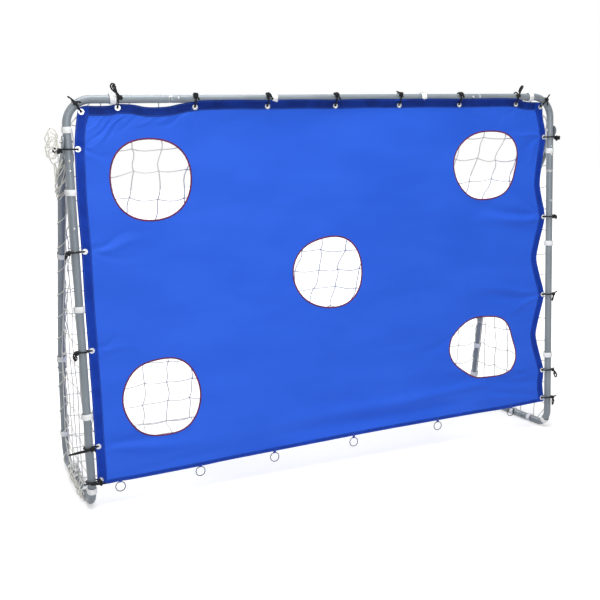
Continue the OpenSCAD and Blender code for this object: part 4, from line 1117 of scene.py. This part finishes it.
side_tails = {-1: [
    [[(-4, -2, 1), (-22, -4, 3), (-44, -4, 4), (-62, -1, 3)],
     [(-4, -2, -3), (-18, -4, -3), (-36, -3, -1)],
     [(3, -2, -2), (12, -4, -3), (19, -3, -1)]],
    [[(-4, -2, -1), (-24, -4, -4), (-46, 6, -9), (-68, 17, -14),
      (-84, 24, -17)],
     [(-4, -2, 3), (-22, -3, 1), (-44, 5, -4), (-64, 15, -10),
      (-80, 22, -15)],
     [(3, -4, -3), (10, -8, -8)]],
    [[(-4, -2, 2), (-10, -3, -2), (-12, -3, -14), (-6, -2, -26),
      (1, -2, -20), (-2, -2, -8)],
     [(-1, -3, -4), (-7, -4, -14), (-4, -4, -24)]],
    [[(-3, -3, 2), (-9, -5, 2), (-13, -5, -6), (-15, -4, -18)],
     [(-2, -3, -3), (-9, -5, -11), (-15, -5, -22)]],
    [[(-4, -2, 5), (-12, -3, 8), (-19, -3, 1), (-12, -3, -6)],
     [(4, -2, -2), (12, -3, -5), (19, -2, -3)]]],
    1: [
    [[(3, -2, 1), (10, -3, 5), (18, -4, 7)],
     [(-2, -4, -3), (-6, -7, -16), (-6, -8, -34)],
     [(1, -4, -5), (3, -7, -18), (-3, -8, -30)]],
    [[(2, -3, -2), (10, -5, -10), (18, -6, -24), (15, -5, -35),
      (7, -5, -28), (2, -4, -12)],
     [(1, -4, 4), (-2, -6, 11)], [(4, -4, -6), (11, -6, -20)]],
    [[(4, -1, 3), (10, -2, 8), (18, -3, 10)],
     [(-3, -3, -4), (-10, -8, -13), (-18, -10, -26)],
     [(-2, -3, -5), (-7, -7, -16), (-13, -9, -29)]],
    [[(3, -3, 2), (8, -5, 4), (9, -5, -6), (3, -6, -12)],
     [(-3, -5, -3), (-9, -8, -6), (-16, -9, -4)]],
    [[(3, -3, 4), (10, -5, 7), (13, -6, -1), (6, -6, -7)],
     [(-6, -3, 0), (-14, -6, 1)]]]}
side_knots = {-1: [(-29, -21.5, -4), (-8, -21.5, -1), (23.5, -6, -3),
                   (24, -6, -2), (33, 8, -4)],
              1: [(16, -15, -2), (17.5, -14, -2), (20.5, -11, -1),
                  (23.5, -6, -1), (34, -4, -6)]}
side_knot_size = {-1: (0.0110, 0.0100, 0.0090, 0.0085, 0.0105), 1: (0.0078, 0.0078, 0.0075, 0.0085, 0.0115)}
for side, sign in (("left", -1), ("right", 1)):
    tie_parts = []
    for k, z in enumerate(side_rows[sign]):
        tie_parts += tie((sign * post_x, front, z), (sign, 0, 0), stay_loop if k == 4 else post_loop,
                         side_tails[sign][k], side_knot_size[sign][k], 40 + k + sign, side_knots[sign][k])
    piece("tie_cords_" + side, tie_parts, cord_finish, [side + "_ties"])


# Ring tabs: six short lengths of webbing, folded round a ring's wire and sewn with a
# crossed box to the front of the foot hem.
tab_y, tab_fold, tab_drop, tab_tail, tab_w = 0.0013, 0.0024, 0.0049, 0.012, 0.010
ring_xs = [-0.943, -0.627, -0.313, 0.046, 0.458, 0.845]


def webbing_tab(x):
    """One tab, seen from the side: down the front, round the wire and up behind the hem's foot."""
    z = lower_edge(x) - tab_drop
    line = [(-0.0025, tab_drop + tab_tail), (-0.0030, tab_drop + 0.6 * tab_tail), (-0.0026, tab_drop + 0.002)]
    line += [(-tab_fold * math.cos(a), tab_fold * math.sin(-a)) for a in
             [math.radians(-10 + 200 * k / 12) for k in range(13)]]
    line += [(tab_fold * 0.95, tab_drop - 0.0008)]
    verts = []
    columns_across = [-1, -0.92, -0.5, 0, 0.5, 0.92, 1]
    line = np.array(line)
    ahead = np.gradient(line, axis=0)
    ahead /= np.linalg.norm(ahead, axis=1)[:, None]
    for (y, up), (dy, dz) in zip(line, ahead):
        for face in (-1, 1):
            for c in columns_across[::face]:
                thick = 0.00045 * (0.45 if abs(c) == 1 else 1.0) * face
                wave = 0.0002 * math.sin(up * 900 + c * 3)
                verts.append((x + c * tab_w / 2 + 0.0003 * math.sin(up * 300),
                              front + tab_y + y + dz * thick + wave, z + up - dy * thick))
    return verts, skin(len(line), 2 * len(columns_across))


def webbing(where):
    rib = where.add("TexWave", {"bands_direction": "Z"}, {"Vector": where, "Scale": 300.0})
    weave = where.add("TexWave", {"bands_direction": "X"}, {"Vector": where, "Scale": 420.0})
    worn = where.noise(80.0, 3.0)
    return {"Base Color": worn.fade(0.3, 0.7).paint((0.008, 0.035, 0.240), (0.014, 0.050, 0.310)),
            "Roughness": 0.66 + rib * 0.15,
            "Normal": (rib + weave * 0.6).relief(0.6, 0.35)}


piece("webbing_tabs", [webbing_tab(x) for x in ring_xs], finish("blue_webbing", webbing, Sheen_Weight=0.15),
      ["ring_tabs"])


# Rings: six 40 mm rings of 3.2 mm steel wire, welded shut and zinc plated, dull with
# handling. Each hangs in its tab and swings, and a ground peg can go through it.
def dull_wire(where):
    grime = where.noise(120.0, 4.0)
    drawn = where.noise(700.0, 2.0)
    return {"Base Color": grime.fade(0.35, 0.7).paint((0.010, 0.010, 0.011), (0.035, 0.035, 0.035)),
            "Roughness": 0.30 + grime * 0.22,
            "Normal": (drawn * 0.4 + grime).relief(0.25, 0.08)}


dress(finish("dull_ring_wire", dull_wire, Metallic=0.9), *("peg_ring_%d" % k for k in range(1, 7)))


# Floor and light: a plain pale studio. The floor shows white to the camera and in
# reflections, but keeps the shadow that the goal throws on it.
def sight_only(start):
    """1 for the rays that see the background: the camera's, and those of gloss and glass."""
    seen = start.add("LightPath")
    rays = [Wire(seen.socket.node.outputs["Is %s Ray" % kind])
            for kind in ("Camera", "Glossy", "Transmission")]
    return (rays[0] + rays[1] + rays[2]).fade(0.0, 1.0)


floor_mesh = bpy.data.meshes.new("studio_floor")
floor_mesh.from_pydata([(-40, -40, 0), (40, -40, 0), (40, 40, 0), (-40, 40, 0)], [], [(0, 1, 2, 3)])
floor = bpy.data.objects.new("studio_floor", floor_mesh)
bpy.context.scene.collection.objects.link(floor)
floor_paint = bpy.data.materials.new("studio_floor")
floor_paint.use_nodes = True
paper = floor_paint.node_tree.nodes["Principled BSDF"]
paper.inputs["Base Color"].default_value = (0.68, 0.68, 0.68, 1.0)
paper.inputs["Roughness"].default_value = 0.95
paper.inputs["Specular IOR Level"].default_value = 0.0
paper.inputs["Emission Color"].default_value = (1, 1, 1, 1)
floor_place = Wire(paper.outputs[0]).add("TexCoord", out="Object")
floor_away = floor_place.add("VectorMath", {"operation": "LENGTH"}, {0: floor_place}, out=1)
floor_glow = sight_only(floor_place) * (floor_away.fade(0.8, 6.0) * 0.65 + 0.42)
floor_paint.node_tree.links.new(floor_glow.socket, paper.inputs["Emission Strength"])
floor_mesh.materials.append(floor_paint)

sky = bpy.data.worlds.new("studio")
bpy.context.scene.world = sky
sky.use_nodes = True
air = sky.node_tree.nodes["Background"]
air_light = sight_only(Wire(air.outputs[0])) * 0.62 + 0.38
sky.node_tree.links.new(air_light.socket, air.inputs["Strength"])
air.inputs["Color"].default_value = (1, 1, 1, 1)


def lamp(name, place, target, size, watts):
    light = bpy.data.lights.new(name, "AREA")
    light.shape, light.size, light.energy = "DISK", size, watts
    thing = bpy.data.objects.new(name, light)
    thing.matrix_world = (Matrix.Translation(place)
                          @ (Vector(target) - Vector(place)).to_track_quat("-Z", "Y").to_matrix().to_4x4())
    bpy.context.scene.collection.objects.link(thing)


lamp("soft_top", (-0.6, -0.9, 4.3), (0, 0, 0.9), 3.2, 172)
lamp("soft_key", (-1.0, -4.6, 1.9), (0.1, 0, 0.6), 2.4, 62)
lamp("soft_back", (0.8, 3.6, 2.6), (0, 0, 0.7), 2.6, 74)

yaw, pitch, roll = 0.406477, 0.1543385, -0.0330851
ahead = Vector((math.sin(yaw) * math.cos(pitch), math.cos(yaw) * math.cos(pitch), -math.sin(pitch)))
level = Vector((math.cos(yaw), -math.sin(yaw), 0))
upward = level.cross(ahead)
across = level * math.cos(roll) + upward * math.sin(roll)
upright = upward * math.cos(roll) - level * math.sin(roll)
view = bpy.data.cameras.new("camera")
view.lens, view.sensor_width, view.sensor_fit = 54.68, 36.0, "HORIZONTAL"
view.clip_end = 100
camera = bpy.data.objects.new("camera", view)
axes = Matrix((across, upright, -ahead)).transposed().to_4x4()
camera.matrix_world = Matrix.Translation((-1.6048, front - 3.3119, 1.2753)) @ axes
bpy.context.scene.collection.objects.link(camera)
bpy.context.scene.camera = camera
bpy.context.scene.view_settings.view_transform = "Standard"
